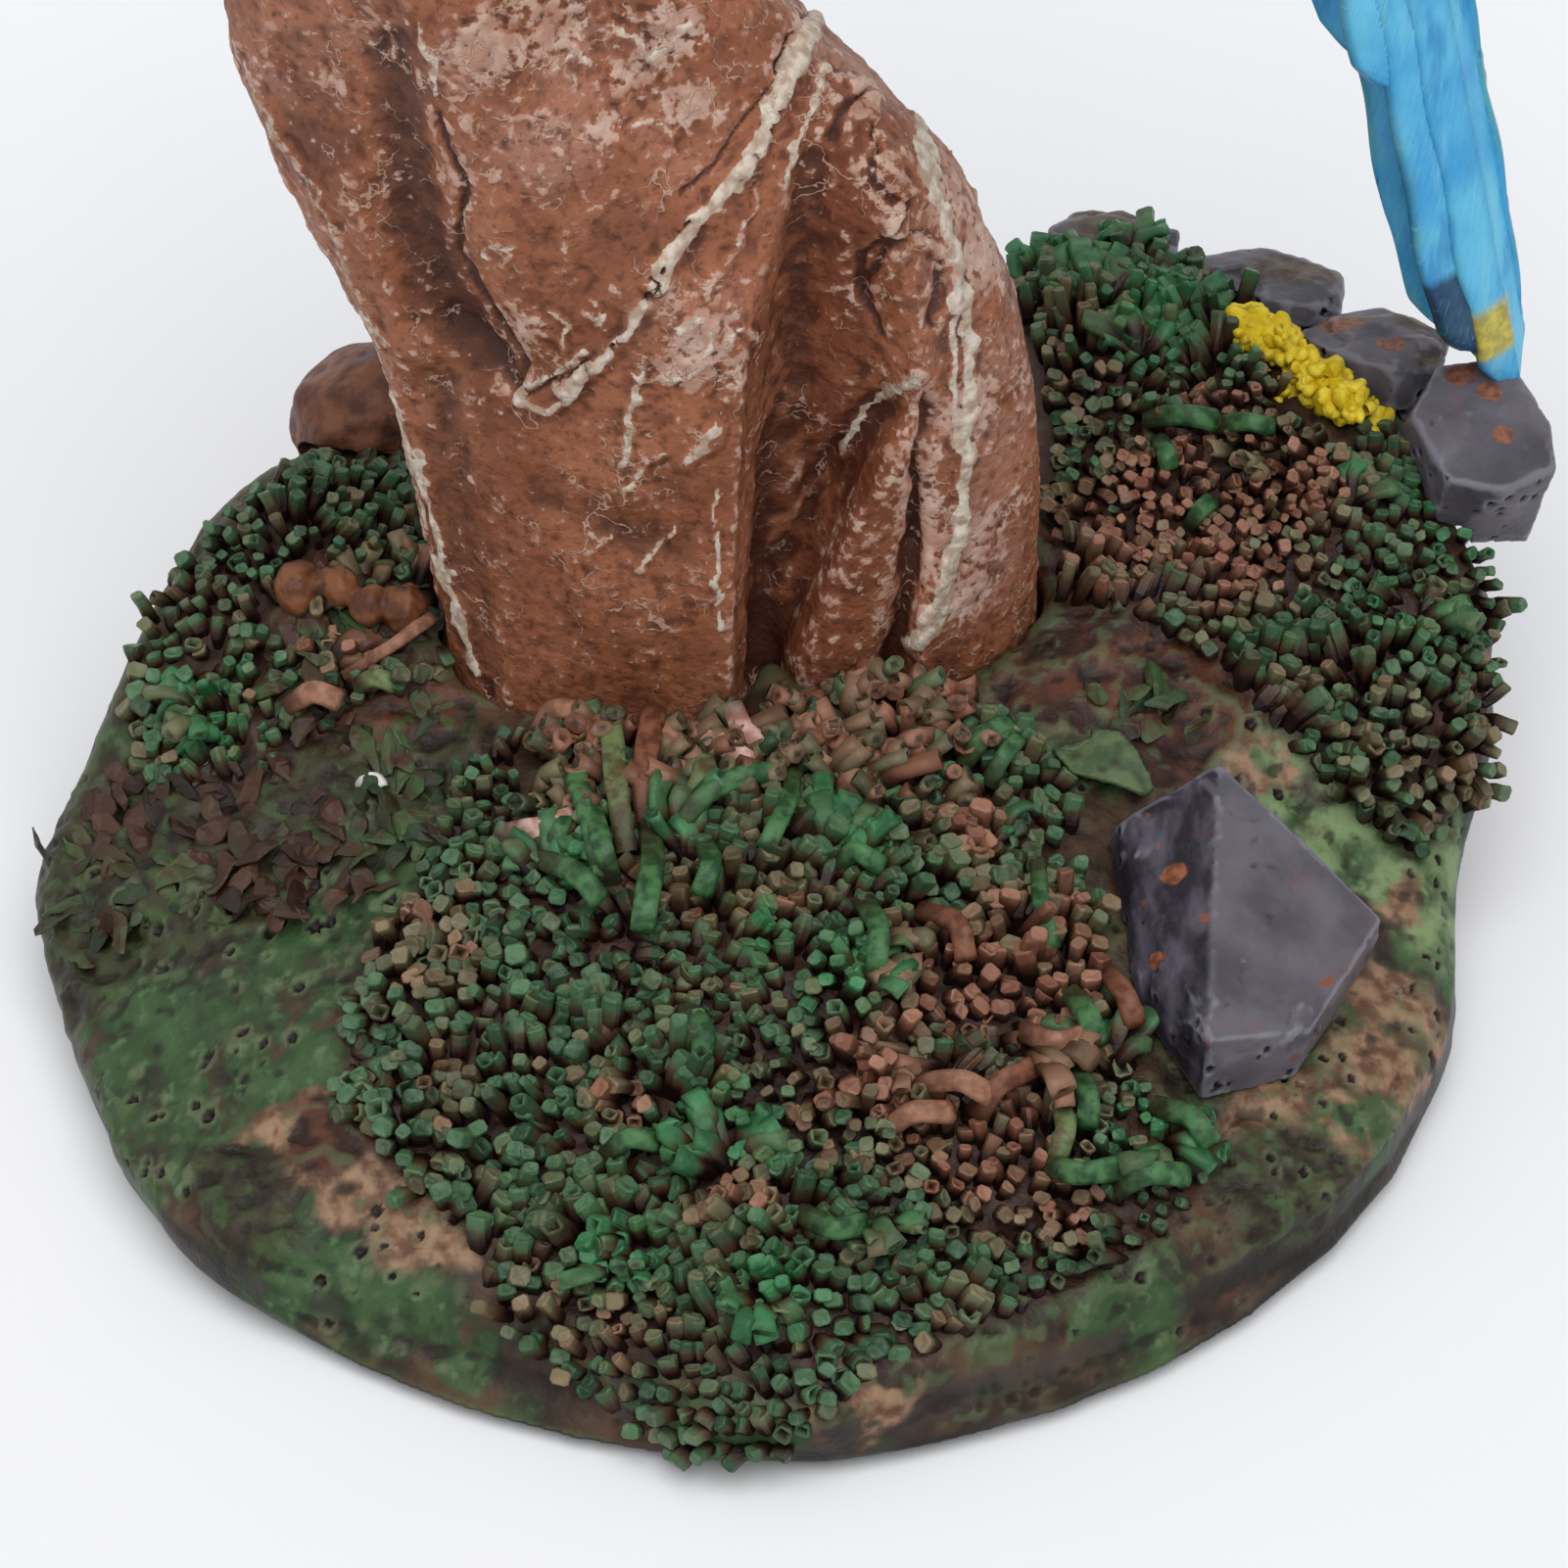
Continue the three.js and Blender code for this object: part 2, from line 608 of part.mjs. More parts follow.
// The broken branch on the left.
function brokenBranch() {
  const [out, up] = [rad(branchOutDegrees), rad(branchUpDegrees)];
  const way = V(Math.cos(out) * Math.cos(up), Math.sin(out) * Math.cos(up), Math.sin(up));
  const side = V(-Math.sin(out), Math.cos(out), 0);
  const over = way.clone().cross(side);
  const start = V(trunkAt(1 - branchDrop / trunkHeight).x, trunkBack, trunkTop - branchDrop);
  const rings = [0, 0.5, 0.85, 1].map((share) => Array.from({ length: 10 }, (_, s) => {
    const angle = (s * turn) / 10;
    const radius = branchRadius * (1 - 0.35 * share);
    const ragged = share === 1 ? brokenRise * Math.cos(3 * angle) : 0;
    return start.clone().addScaledVector(way, branchLength * share + ragged)
      .addScaledVector(side, radius * Math.cos(angle)).addScaledVector(over, radius * Math.sin(angle));
  }));
  return skin(rings);
}

// The trunk without its branch, made larger all round by grow.
const trunkBody = (grow) => cut(trunkColumn(grow), [hollow(grow)]).add(hollowRib(grow));

// Bird's frame

const rumpHeight = trunkTop + rump.aboveTrunk;
const birdFrame = new THREE.Matrix4().makeRotationZ(rad(facingDegrees)).setPosition(rump.x, rump.y, rumpHeight);
const worldToBird = birdFrame.clone().invert();
const grip = V(gripForward, 0, -gripBelow);
const moved = (solid, matrix) => solidOf(geometryOf(solid).applyMatrix4(matrix));

// Perch limb, in the bird's frame so that the feet and the limb share one line

function limbCurve() {
  const { x, halfWidth } = trunkAt(1 - limbSocketDrop / trunkHeight);
  const root = V(x + halfWidth - limbSocket, trunkBack, trunkTop - limbSocketDrop).applyMatrix4(worldToBird);
  const behind = V(grip.x, -perchBefore - footSpacing, grip.z - perchDrop / 4);
  const before = V(grip.x, perchAfter + footSpacing, grip.z + perchDrop / 2);
  const bow = root.clone().lerp(behind, 0.5).add(V(0, -limbBow / 2, 0));
  const feet = [-1, 1].map((side) => V(grip.x, side * footSpacing, grip.z));
  return new THREE.CatmullRomCurve3([root, bow, behind, ...feet, before]);
}

function perchLimb(grow) {
  const curve = limbCurve();
  const last = limbRings - 1;
  const rings = Array.from({ length: limbRings }, (_, r) => {
    const share = r / last;
    const way = curve.getTangentAt(share);
    const side = V(0, 0, 1).cross(way).normalize();
    const up = way.clone().cross(side);
    const radius = THREE.MathUtils.lerp(limbRootRadius, perchRadius, Math.min(2 * share, 1)) + grow;
    const end = (r === last ? grow : 0) - (r === 0 ? grow : 0);
    return Array.from({ length: limbSides }, (_side, s) => {
      const angle = (s * turn) / limbSides;
      const ragged = r === last ? limbRagged * Math.cos(3 * angle) : 0;
      return curve.getPointAt(share).addScaledVector(way, end + ragged)
        .addScaledVector(side, radius * Math.cos(angle)).addScaledVector(up, radius * Math.sin(angle));
    });
  });
  return skin(rings);
}

// Body

const spineShareAt = (height) => (height + tailRootDrop) / (spineHeight + tailRootDrop);

function bodyAt(share) {
  return {
    x: spineForward * along(spineForwardShares, share),
    halfWidth: bodyHalfWidth * along(bodyWidthShares, share),
    halfDepth: bodyHalfDepth * along(bodyDepthShares, share),
  };
}

function bodyCore(grow) {
  const last = bodyRings - 1;
  const rings = Array.from({ length: bodyRings }, (_, r) => {
    const { x, halfWidth, halfDepth } = bodyAt(r / last);
    const end = (r === last ? grow : 0) - (r === 0 ? grow : 0);
    const z = THREE.MathUtils.lerp(-tailRootDrop, spineHeight, r / last) + end;
    return Array.from({ length: bodySides }, (_side, s) => {
      const angle = (s * turn) / bodySides;
      return V(x + (halfDepth + grow) * Math.cos(angle), (halfWidth + grow) * Math.sin(angle), z);
    });
  });
  return skin(rings);
}

// Legs

const perchTop = grip.z + perchRadius;
const anklePoint = (side) => V(grip.x, side * footSpacing, perchTop + toeRadius + toeSeat);

function thighTop(side) {
  const height = perchTop + thighLength;
  return V(bodyAt(spineShareAt(height)).x + thighRadius, side * footSpacing, height);
}

function thigh(side, grow) {
  const top = thighTop(side);
  const low = anklePoint(side).lerp(top, ankleShare);
  const rings = thighShares.map(([share, wideShare]) => Array.from({ length: thighSides }, (_, s) => {
    const angle = (s * turn) / thighSides;
    const radius = thighRadius * wideShare + grow;
    return low.clone().lerp(top, share).add(V(radius * Math.cos(angle), radius * Math.sin(angle), 0));
  }));
  return skin(rings);
}

// A toe that wraps round the perch and thins into its claw, made larger all round by grow.
function toe(side, splay, degrees, forward, grow) {
  const reach = perchRadius + toeRadius + toeSeat;
  const rings = Array.from({ length: toeRings }, (_, r) => {
    const share = r / (toeRings - 1);
    const angle = rad(degrees) * share + (r === toeRings - 1 ? grow / reach : 0);
    const half = toeRadius * Math.max(Math.min((1 - share) / clawShare, 1), clawTipShare) + grow;
    const across = side * footSpacing + splay * (0.3 + 0.7 * share);
    const middle = V(grip.x + forward * reach * Math.sin(angle), across, grip.z + reach * Math.cos(angle));
    return Array.from({ length: toeSides }, (_side, s) => {
      const spin = (s * turn) / toeSides;
      const out = half * Math.cos(spin);
      return middle.clone().add(V(forward * out * Math.sin(angle), half * Math.sin(spin), out * Math.cos(angle)));
    });
  });
  return skin(rings);
}

function shank(side, grow) {
  const ankle = anklePoint(side);
  const top = ankle.clone().lerp(thighTop(side), 0.5);
  const beyond = top.clone().sub(ankle).normalize().multiplyScalar(grow);
  return bar(ankle, top.add(beyond), shankRadius + grow);
}

function foot(side, grow) {
  const toes = [-1, 1].flatMap((splay) => [
    toe(side, splay * toeSplay, frontToeDegrees, 1, grow), toe(side, splay * toeSplay, rearToeDegrees, -1, grow),
  ]);
  const pad = ball(toePadRadius + grow, anklePoint(side), V(1, 1.3, 0.7), 8, 6);
  return join([...toes, pad, shank(side, grow)]);
}

// The wire that runs from the perch through the foot into the body.
function legPin(side, radius, slack) {
  const ankle = anklePoint(side);
  const way = thighTop(side).sub(ankle).normalize();
  const low = ankle.clone().setZ(perchTop - pinInPerch - slack);
  const high = ankle.clone().addScaledVector(way, thighLength / 2 + pinInBody + slack);
  return join([bar(low, ankle, radius, 6), bar(ankle, high, radius, 6), ball(radius, ankle, V(1, 1, 1), 6, 4)]);
}

const tailDrop = rumpHeight - moundHeight - tailTipRise;
const tailLength = Math.hypot(tailDrop, tailBack);

// Everything on one side of the bird's middle plane, with half a gap to it.
function halfSpace(side, gap) {
  const reach = tailDrop + spineHeight;
  const geometry = new THREE.BoxGeometry(2 * reach, reach, 2 * reach);
  return solidOf(geometry.translate(0, (side * (gap + reach)) / 2, 0));
}

// Tail

const tailWay = V(-tailBack, 0, -tailDrop).normalize();
const tailFace = V(-tailDrop, 0, tailBack).normalize();
const onTail = (way, under, out) => V(0, out, 0).addScaledVector(tailWay, way).addScaledVector(tailFace, -under);

// One long feather with a raised shaft and a flat inner face, made larger all round by grow.
function quill(root, tip, face, grow) {
  const way = tip.clone().sub(root);
  const across = way.clone().cross(face).normalize();
  const out = across.clone().cross(way).normalize();
  const beyond = grow / way.length();
  const last = tailFeatherShares.length - 1;
  const rings = tailFeatherShares.map(([share, widthShare], i) => {
    const middle = root.clone().addScaledVector(way, share + (i === last ? beyond : 0) - (i === 0 ? beyond : 0));
    const half = (tailFeatherWidth * widthShare) / 2 + 4 * grow;
    return [[half, -grow], [0, tailFeatherThickness + 2 * grow], [-half, -grow]].map(([side, up]) => (
      middle.clone().addScaledVector(across, side).addScaledVector(out, up)
    ));
  });
  return skin(rings);
}

// One half's feathers, graduated from the long central one to the short outer one.
function tailHalf(side, grow) {
  const roll = rad(tailRoll);
  const face = tailFace.clone().multiplyScalar(Math.cos(roll)).add(V(0, side * Math.sin(roll), 0));
  const quills = tailLengthShares.map((lengthShare, i) => {
    const under = tailDepth * tailUnderShares[i];
    const out = side * (tailFeatherThickness + tailSpread * tailOutShares[i]);
    return quill(onTail(0, under / 2, out), onTail(tailLength * lengthShare, under, out), face, grow);
  });
  const root = ball(tailRootRadius + grow, onTail(tailRootDrop, 0, 0), V(1, 1, 1.5), 12, 8);
  return join([...quills, root]).intersect(halfSpace(side, tailGap - 2 * grow));
}

const columns = (count) => Array.from({ length: count }, (_, k) => (2 * k) / (count - 1) - 1);

// The short feathers over the tail's root, above it or below it, as one curved sheet with a ridge on each.
function tailCoverts(above, grow) {
  const rise = above ? -1 : 1;
  const wider = rad(covertSpan) + grow / covertStand;
  const pointAt = (share, across, layer) => {
    const end = covertLength * (1 - 0.25 * across * across) + grow;
    const way = THREE.MathUtils.lerp(-covertLength / 6 - grow, end, share);
    const radius = covertStand + layer;
    return onTail(way, rise * radius * Math.cos(across * wider), radius * Math.sin(across * wider));
  };
  const rings = covertRowShares.map((share) => [
    ...columns(2 * covertCount + 1).map((across, k) => (k % 2 === 1
      ? pointAt(share, across, vaneThickness + grow) : pointAt(share * (1 - covertNotchShare), across, vaneEdge + grow))),
    ...columns(covertColumns).reverse().map((across) => (
      pointAt(share * (1 - covertNotchShare), across, -vaneEdge - grow)
    )),
  ]);
  return skin(rings);
}

// Wings

// The body's cross-section at a height, which carries on round the tail's root for the wing tips.
function sleeveAt(height) {
  const section = bodyAt(Math.max(spineShareAt(height), 0));
  const below = Math.max(-tailRootDrop - height, 0);
  const share = Math.min(below / tailRootDrop, 1);
  return {
    x: section.x - (below * tailBack) / tailDrop,
    halfWidth: THREE.MathUtils.lerp(section.halfWidth, tailSleeveHalfWidth, share),
    halfDepth: THREE.MathUtils.lerp(section.halfDepth, tailSleeveHalfDepth, share),
  };
}

// A point of the folded wing, from its share of the length and of the way across, -1 at the front edge.
function wingPoint(lengthShare, acrossShare, layer, side) {
  const height = THREE.MathUtils.lerp(wingTop, wingBottom, lengthShare);
  const front = along(wingFrontShares, lengthShare);
  const rear = along(wingRearShares, lengthShare);
  const angle = (Math.PI * (front + rear + (rear - front) * acrossShare)) / 2;
  const { x, halfWidth, halfDepth } = sleeveAt(height);
  const out = wingLift + layer;
  return V(x + (halfDepth + out) * Math.cos(angle), side * (halfWidth + out) * Math.sin(angle), height);
}

// A folded wing: rows of overlapping feathers outside, each row's tips standing out over the next, and a smooth
// inner face.
function wing(side) {
  const ridged = (k, row) => (k + row) % 2 === 1;
  const rings = wingRows.flatMap(({ fromShare, toShare, layer }, row) => [0, 0.5, 1].map((step) => {
    const tipRow = step === 0 ? row - 1 : row;
    const notched = (k) => step !== 0.5 && tipRow >= 0 && !ridged(k, tipRow);
    const lengthAt = (across) => {
      const fan = row === wingRows.length - 1 ? (wingFanShare * (1 - across)) / 2 : 0;
      return THREE.MathUtils.lerp(fromShare + wingStepShare, toShare - fan, step);
    };
    const outer = columns(2 * vaneCount + 1).map((across, k) => {
      const up = layer + vaneRise * step + (ridged(k, row) ? vaneThickness : vaneEdge);
      return wingPoint(lengthAt(across) - (notched(k) ? wingNotchShare : 0), across, up, side);
    });
    const inner = columns(wingInnerColumns).reverse().map((across) => wingPoint(lengthAt(across), across, 0, side));
    return [...outer, ...inner];
  }));
  return skin(rings).intersect(halfSpace(side, seat));
}

// Head and beak

const headFrame = new THREE.Matrix4().makeRotationZ(rad(headTurn)).setPosition(headForward, 0, headRise);
const inHead = (x, y, z) => V(x, y, z).applyMatrix4(headFrame);

function headBall(grow) {
  const geometry = new THREE.SphereGeometry(headRadius + grow, headSides, headBands).rotateX(Math.PI / 2);
  return solidOf(geometry.scale(...headScaleShares).applyMatrix4(headFrame));
}

// Half of the beak, which curls through an arc, down or up, while it narrows to its tip.
function beakHalf({ length, height, width, hook, rise, curl }, grow) {
  const arc = length / rad(hook);
  const start = headRadius * headScaleShares[0] * beakSeatShare;
  const last = beakRings - 1;
  const rings = Array.from({ length: beakRings }, (_, r) => {
    const share = r / last;
    const angle = rad(hook) * share;
    const taper = Math.cos((Math.PI / 2) * share * 0.95);
    const end = (r === last ? grow : 0) - (r === 0 ? grow : 0);
    return Array.from({ length: beakSides }, (_side, s) => {
      const spin = (s * turn) / beakSides;
      const off = arc + ((height * taper) / 2 + grow) * Math.sin(spin);
      const x = start + off * Math.sin(angle) + end * Math.cos(angle);
      const z = off * Math.cos(angle) - arc - end * Math.sin(angle);
      return inHead(x, ((width * taper) / 2 + grow) * Math.cos(spin), rise + curl * z);
    });
  });
  return skin(rings);
}

function eye(side, grow) {
  const [long, wide, tall] = headScaleShares.map((share) => share * headRadius);
  const level = Math.sqrt(1 - eyeForwardShare ** 2 - eyeRiseShare ** 2);
  const y = side * (wide * level - eyeRadius * eyeSunkShare);
  return ball(eyeRadius + grow, inHead(long * eyeForwardShare, y, tall * eyeRiseShare), V(1, 1, 1), 10, 6);
}

// Assembly

const resin = (color, roughness = 0.6) => new THREE.MeshStandardMaterial({ color, roughness, metalness: 0 });
const paint = {
  felt: resin(0x2b2a26, 0.95),
  earth: resin(0x5b4a33),
  moss: resin(0x2f6a3c),
  grass: resin(0x3f7d46),
  slate: resin(0x55555f),
  stone: resin(0x7a4c33),
  leaf: resin(0x48663f),
  lichen: resin(0xd9c01e, 0.75),
  seed: resin(0x7c4a2e),
  bark: resin(0x8a5338),
  yellow: resin(0xe8a81c),
  blue: resin(0x2f9fd8),
  beak: resin(0x1d1c1e, 0.35),
  eye: resin(0x14120c, 0.1),
  toes: resin(0x3a3738),
  steel: new THREE.MeshStandardMaterial({ color: 0x9a9c9f, roughness: 0.3, metalness: 1 }),
};

const figurine = new THREE.Group();
const bird = new THREE.Group();
bird.applyMatrix4(birdFrame);
figurine.add(bird);

function addPiece(group, name, solid, material) {
  const mesh = new THREE.Mesh(geometryOf(largest(solid)), material);
  mesh.name = name;
  group.add(mesh);
}

// Mound and felt
const trunkRoom = trunkBody(seat);
addPiece(figurine, 'underside_felt', feltDisc(), paint.felt);
addPiece(figurine, 'base_mound', cut(mound(0), [trunkRoom]), paint.earth);

// Slates and boulder, each cut by the ones before it
const ground = mound(seat);
const slateRooms = slates.map((one) => slate(one, seat));
slates.forEach((one, i) => {
  addPiece(figurine, one.name, cut(slate(one, 0), [ground, ...slateRooms.slice(0, i)]), paint.slate);
});
addPiece(figurine, 'back_boulder', cut(roundBoulder(0), [ground, trunkRoom]), paint.stone);

// Small things and moss
addPiece(figurine, 'fallen_leaf', cut(fallenLeaf(), [ground, trunkRoom, ...slateRooms]), paint.leaf);
addPiece(figurine, 'yellow_lichen', cut(beads(lichen), [ground, trunkRoom, ...slateRooms]), paint.lichen);
addPiece(figurine, 'seed_cluster', cut(beads(seeds), [ground, trunkRoom, roundBoulder(seat)]), paint.seed);
const inMoss = [
  ground, trunkRoom, ...slateRooms, roundBoulder(seat),
  roomFor(leaf, leaf.length / 2, leaf.width / 2),
  ...[lichen, seeds].map((row) => (
    roomFor(row, (row.step * (row.count - 1)) / 2 + row.radius, row.radius + beadStagger / 2)
  )),
];
mossPatches.forEach(({ name, shares, seed }) => {
  addPiece(figurine, name, cut(mossPatch(shares, seed), inMoss), paint.moss);
});
addPiece(figurine, 'foot_grass', cut(grassTuft(), [ground, trunkRoom]), paint.grass);

// Trunk and perch limb
const limbRoom = perchLimb(seat);
const pinRooms = [1, -1].map((side) => legPin(side, pinBore, seat));
addPiece(figurine, 'trunk', cut(trunkBody(0).add(brokenBranch()), [moved(limbRoom, birdFrame)]), paint.bark);
addPiece(bird, 'perch_limb', cut(perchLimb(0), pinRooms), paint.bark);

// Body, feet and pins
const shankRooms = [1, -1].map((side) => shank(side, seat));
const body = join([bodyCore(0), thigh(1, 0), thigh(-1, 0)]);
const bodyRoom = join([bodyCore(seat), thigh(1, seat), thigh(-1, seat)]);
addPiece(bird, 'body', cut(body, [...shankRooms, ...pinRooms]), paint.yellow);
[1, -1].forEach((side) => {
  const name = side > 0 ? 'left' : 'right';
  addPiece(bird, `${name}_foot`, cut(foot(side, 0), [limbRoom, ...pinRooms]), paint.toes);
  addPiece(bird, `${name}_leg_pin`, legPin(side, pinRadius, 0), paint.steel);
});

// Tail and wings
const footRooms = [1, -1].map((side) => foot(side, seat));
const tailRooms = [bodyRoom, ...footRooms, moved(join([ground, ...slateRooms]), worldToBird)];
const tailRoom = join([tailHalf(1, seat), tailHalf(-1, seat)]);
const covertRooms = [bodyRoom, tailRoom, ...footRooms, limbRoom];
addPiece(bird, 'tail_feathers_left', cut(tailHalf(1, 0), tailRooms), paint.blue);
addPiece(bird, 'tail_feathers_right', cut(tailHalf(-1, 0), tailRooms), paint.blue);
addPiece(bird, 'upper_tail_coverts', cut(tailCoverts(true, 0), covertRooms), paint.blue);
addPiece(bird, 'under_tail_coverts', cut(tailCoverts(false, 0), covertRooms), paint.yellow);
const wingRooms = [bodyRoom, tailRoom, tailCoverts(true, seat), tailCoverts(false, seat)];
addPiece(bird, 'left_wing', cut(wing(1), wingRooms), paint.blue);
addPiece(bird, 'right_wing', cut(wing(-1), wingRooms), paint.blue);

// Head, beak and eyes
const eyeRooms = [1, -1].map((side) => eye(side, seat));
const upperRoom = beakHalf(upperBeak, seat);
const headRooms = [bodyRoom, ...eyeRooms, upperRoom, beakHalf(lowerBeak, seat)];
addPiece(bird, 'head', cut(headBall(0), headRooms), paint.blue);
addPiece(bird, 'upper_beak', cut(beakHalf(upperBeak, 0), [bodyRoom]), paint.beak);
addPiece(bird, 'lower_beak', cut(beakHalf(lowerBeak, 0), [bodyRoom, upperRoom]), paint.beak);
addPiece(bird, 'left_eye', eye(1, 0), paint.eye);
addPiece(bird, 'right_eye', eye(-1, 0), paint.eye);

export default figurine;
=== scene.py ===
"""The looks of a painted cast-resin macaw on its trunk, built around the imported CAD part.

Metres, +Z up, in the part's own frame: the origin is under the middle of the base and -Y is the front. MM
turns the sizes below, which are in millimetres, into metres. Places given in pixels are those of the
photograph.
"""

import math

import bpy
import numpy as np
from mathutils import Matrix, Vector
from mathutils.bvhtree import BVHTree


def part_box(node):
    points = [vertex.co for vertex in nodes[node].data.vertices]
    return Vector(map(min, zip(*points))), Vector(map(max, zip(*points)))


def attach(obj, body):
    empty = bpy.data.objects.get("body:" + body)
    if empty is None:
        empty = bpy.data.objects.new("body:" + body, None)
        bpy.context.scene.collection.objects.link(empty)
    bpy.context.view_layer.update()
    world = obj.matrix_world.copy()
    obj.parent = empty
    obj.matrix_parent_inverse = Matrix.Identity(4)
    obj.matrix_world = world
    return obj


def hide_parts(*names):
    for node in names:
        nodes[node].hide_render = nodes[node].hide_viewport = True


MM = 0.001
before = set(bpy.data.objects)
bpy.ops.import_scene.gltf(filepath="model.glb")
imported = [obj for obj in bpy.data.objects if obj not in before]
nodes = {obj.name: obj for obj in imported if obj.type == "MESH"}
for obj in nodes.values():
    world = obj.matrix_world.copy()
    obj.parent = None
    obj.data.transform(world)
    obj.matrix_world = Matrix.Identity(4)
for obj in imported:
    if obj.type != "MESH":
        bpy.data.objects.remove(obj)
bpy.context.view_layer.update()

# Camera: the photograph is PHOTO_SIDE pixels square, and PIXELS_PER_MM holds at the point that the camera
# aims at
PHOTO_SIDE = 1601
CAMERA_ELEVATION = math.radians(42)
CAMERA_DISTANCE = 470 * MM
PIXELS_PER_MM = 12.75
CAMERA_TARGET = Vector((1.6, 12, 8)) * MM
SENSOR_WIDTH = 36.0

ahead = Vector((0, math.cos(CAMERA_ELEVATION), -math.sin(CAMERA_ELEVATION)))
upward = Vector((0, math.sin(CAMERA_ELEVATION), math.cos(CAMERA_ELEVATION)))
rightward = Vector((1, 0, 0))
camera_place = CAMERA_TARGET - ahead * CAMERA_DISTANCE
focal_pixels = PIXELS_PER_MM / MM * CAMERA_DISTANCE


def placed(name, data):
    """A new object in the scene."""
    made = bpy.data.objects.new(name, data)
    bpy.context.scene.collection.objects.link(made)
    return made


def make_camera():
    lens = bpy.data.cameras.new("camera")
    lens.sensor_width = SENSOR_WIDTH
    lens.lens = SENSOR_WIDTH * focal_pixels / PHOTO_SIDE
    camera = placed("camera", lens)
    camera.rotation_euler = (math.pi / 2 - CAMERA_ELEVATION, 0, 0)
    camera.location = camera_place
    bpy.context.scene.camera = camera


# Arrays of points


def unit(vectors):
    return vectors / np.maximum(np.linalg.norm(vectors, axis=-1, keepdims=True), 1e-12)


def square_to(ways, axes):
    """The parts of directions that are square to axes, at unit length."""
    return unit(ways - axes * np.einsum("ij,ij->i", ways, axes)[:, None])


def compass(turns):
    """Level directions at angles from +X."""
    return np.stack([np.cos(turns), np.sin(turns), np.zeros(len(turns))], axis=1)


def soft(value, low, high):
    """A smooth step from 0 at low to 1 at high."""
    share = np.clip((value - low) / (high - low), 0, 1)
    return share * share * (3 - 2 * share)


def hashed(ix, iy, iz, seed):
    """Repeatable values from 0 to 1 for points of a whole-number lattice."""
    mix = np.uint32(374761393) * ix.astype(np.uint32) + np.uint32(668265263) * iy.astype(np.uint32)
    mix = mix + np.uint32(2246822519) * iz.astype(np.uint32) + np.uint32((seed * 3266489917) % 2**32)
    mix = (mix ^ (mix >> np.uint32(15))) * np.uint32(2654435761)
    mix = (mix ^ (mix >> np.uint32(13))) * np.uint32(1597334677)
    return (mix >> np.uint32(8)).astype(float) / 2**24


def noise(points, size, seed):
    """Smooth noise from -1 to 1 with bumps of about that size."""
    scaled = points / size
    cell = np.floor(scaled).astype(np.int64)
    share = scaled - cell
    share = share * share * (3 - 2 * share)
    total = np.zeros(len(points))
    for corner in range(8):
        step = np.array([corner & 1, (corner >> 1) & 1, corner >> 2])
        weight = np.prod(np.where(step, share, 1 - share), axis=1)
        total += weight * hashed(*(cell + step).T, seed)
    return 2 * total - 1


def rough(points, size, octaves, seed):
    """Noise on several scales, each half the size and height of the one before."""
    levels = [noise(points, size / 2**k, seed + k) / 2**k for k in range(octaves)]
    return sum(levels) / (2 - 2.0 ** (1 - octaves))


def cells(points, size, seed):
    """The distances to the nearest and second nearest of scattered spots, and the nearest's luck.

    The distances are shares of size."""
    scaled = points / size
    cell = np.floor(scaled).astype(np.int64)
    first = np.full(len(points), 9.0)
    second = np.full(len(points), 9.0)
    luck = np.zeros(len(points))
    for step in np.ndindex(3, 3, 3):
        at = cell + np.array(step) - 1
        spot = at + np.stack([hashed(*at.T, seed + k) for k in range(3)], axis=1)
        away = np.linalg.norm(scaled - spot, axis=1)
        nearer = away < first
        second = np.where(nearer, first, np.minimum(second, away))
        luck = np.where(nearer, hashed(*at.T, seed + 7), luck)
        first = np.minimum(first, away)
    return first, second, luck


def line_distance(points, line):
    """Each point's distance to a line through several places."""
    best = np.full(len(points), np.inf)
    for start, end in zip(line[:-1], line[1:]):
        way = end - start
        share = np.clip((points - start) @ way / max(way @ way, 1e-18), 0, 1)
        best = np.minimum(best, np.linalg.norm(points - start - share[:, None] * way, axis=1))
    return best


# Places given by pixels of the photograph


def tree_of(*names):
    """A search tree over CAD nodes."""
    points, faces = [], []
    for name in names:
        mesh = nodes[name].data
        base = len(points)
        points += [v.co.copy() for v in mesh.vertices]
        faces += [[base + i for i in face.vertices] for face in mesh.polygons]
    return BVHTree.FromPolygons(points, faces)


ground_tree = tree_of("base_mound")
trunk_tree = tree_of("trunk")
land_tree = tree_of("base_mound", "trunk")
HIGH_ABOVE = 400 * MM


def pixel_way(pixel):
    """The direction in which the camera sees a pixel."""
    column, row = pixel
    across = (column - PHOTO_SIDE / 2) / focal_pixels
    up = (PHOTO_SIDE / 2 - row) / focal_pixels
    return (ahead + rightward * across + upward * up).normalized()


def pixels_of(points):
    """The columns and rows at which the camera sees points."""
    off = points - np.array(camera_place)
    depth = off @ np.array(ahead)
    column = PHOTO_SIDE / 2 + focal_pixels * (off @ np.array(rightward)) / depth
    row = PHOTO_SIDE / 2 - focal_pixels * (off @ np.array(upward)) / depth
    return np.stack([column, row], axis=1)


def from_above(tree, x, y):
    """The place and normal that a ray straight down meets first."""
    place, normal, _, _ = tree.ray_cast(Vector((x, y, HIGH_ABOVE)), Vector((0, 0, -1)))
    return place, normal


def from_camera(tree, pixel):
    """The place and normal that the camera sees at a pixel."""
    place, normal, _, _ = tree.ray_cast(camera_place, pixel_way(pixel))
    return place, normal


def seen_at(tree, pixel):
    place, _ = from_camera(tree, pixel)
    return np.array(place) if place else None


def seen_line(tree, pixels):
    return np.array([place for place in (seen_at(tree, pixel) for pixel in pixels) if place is not None])


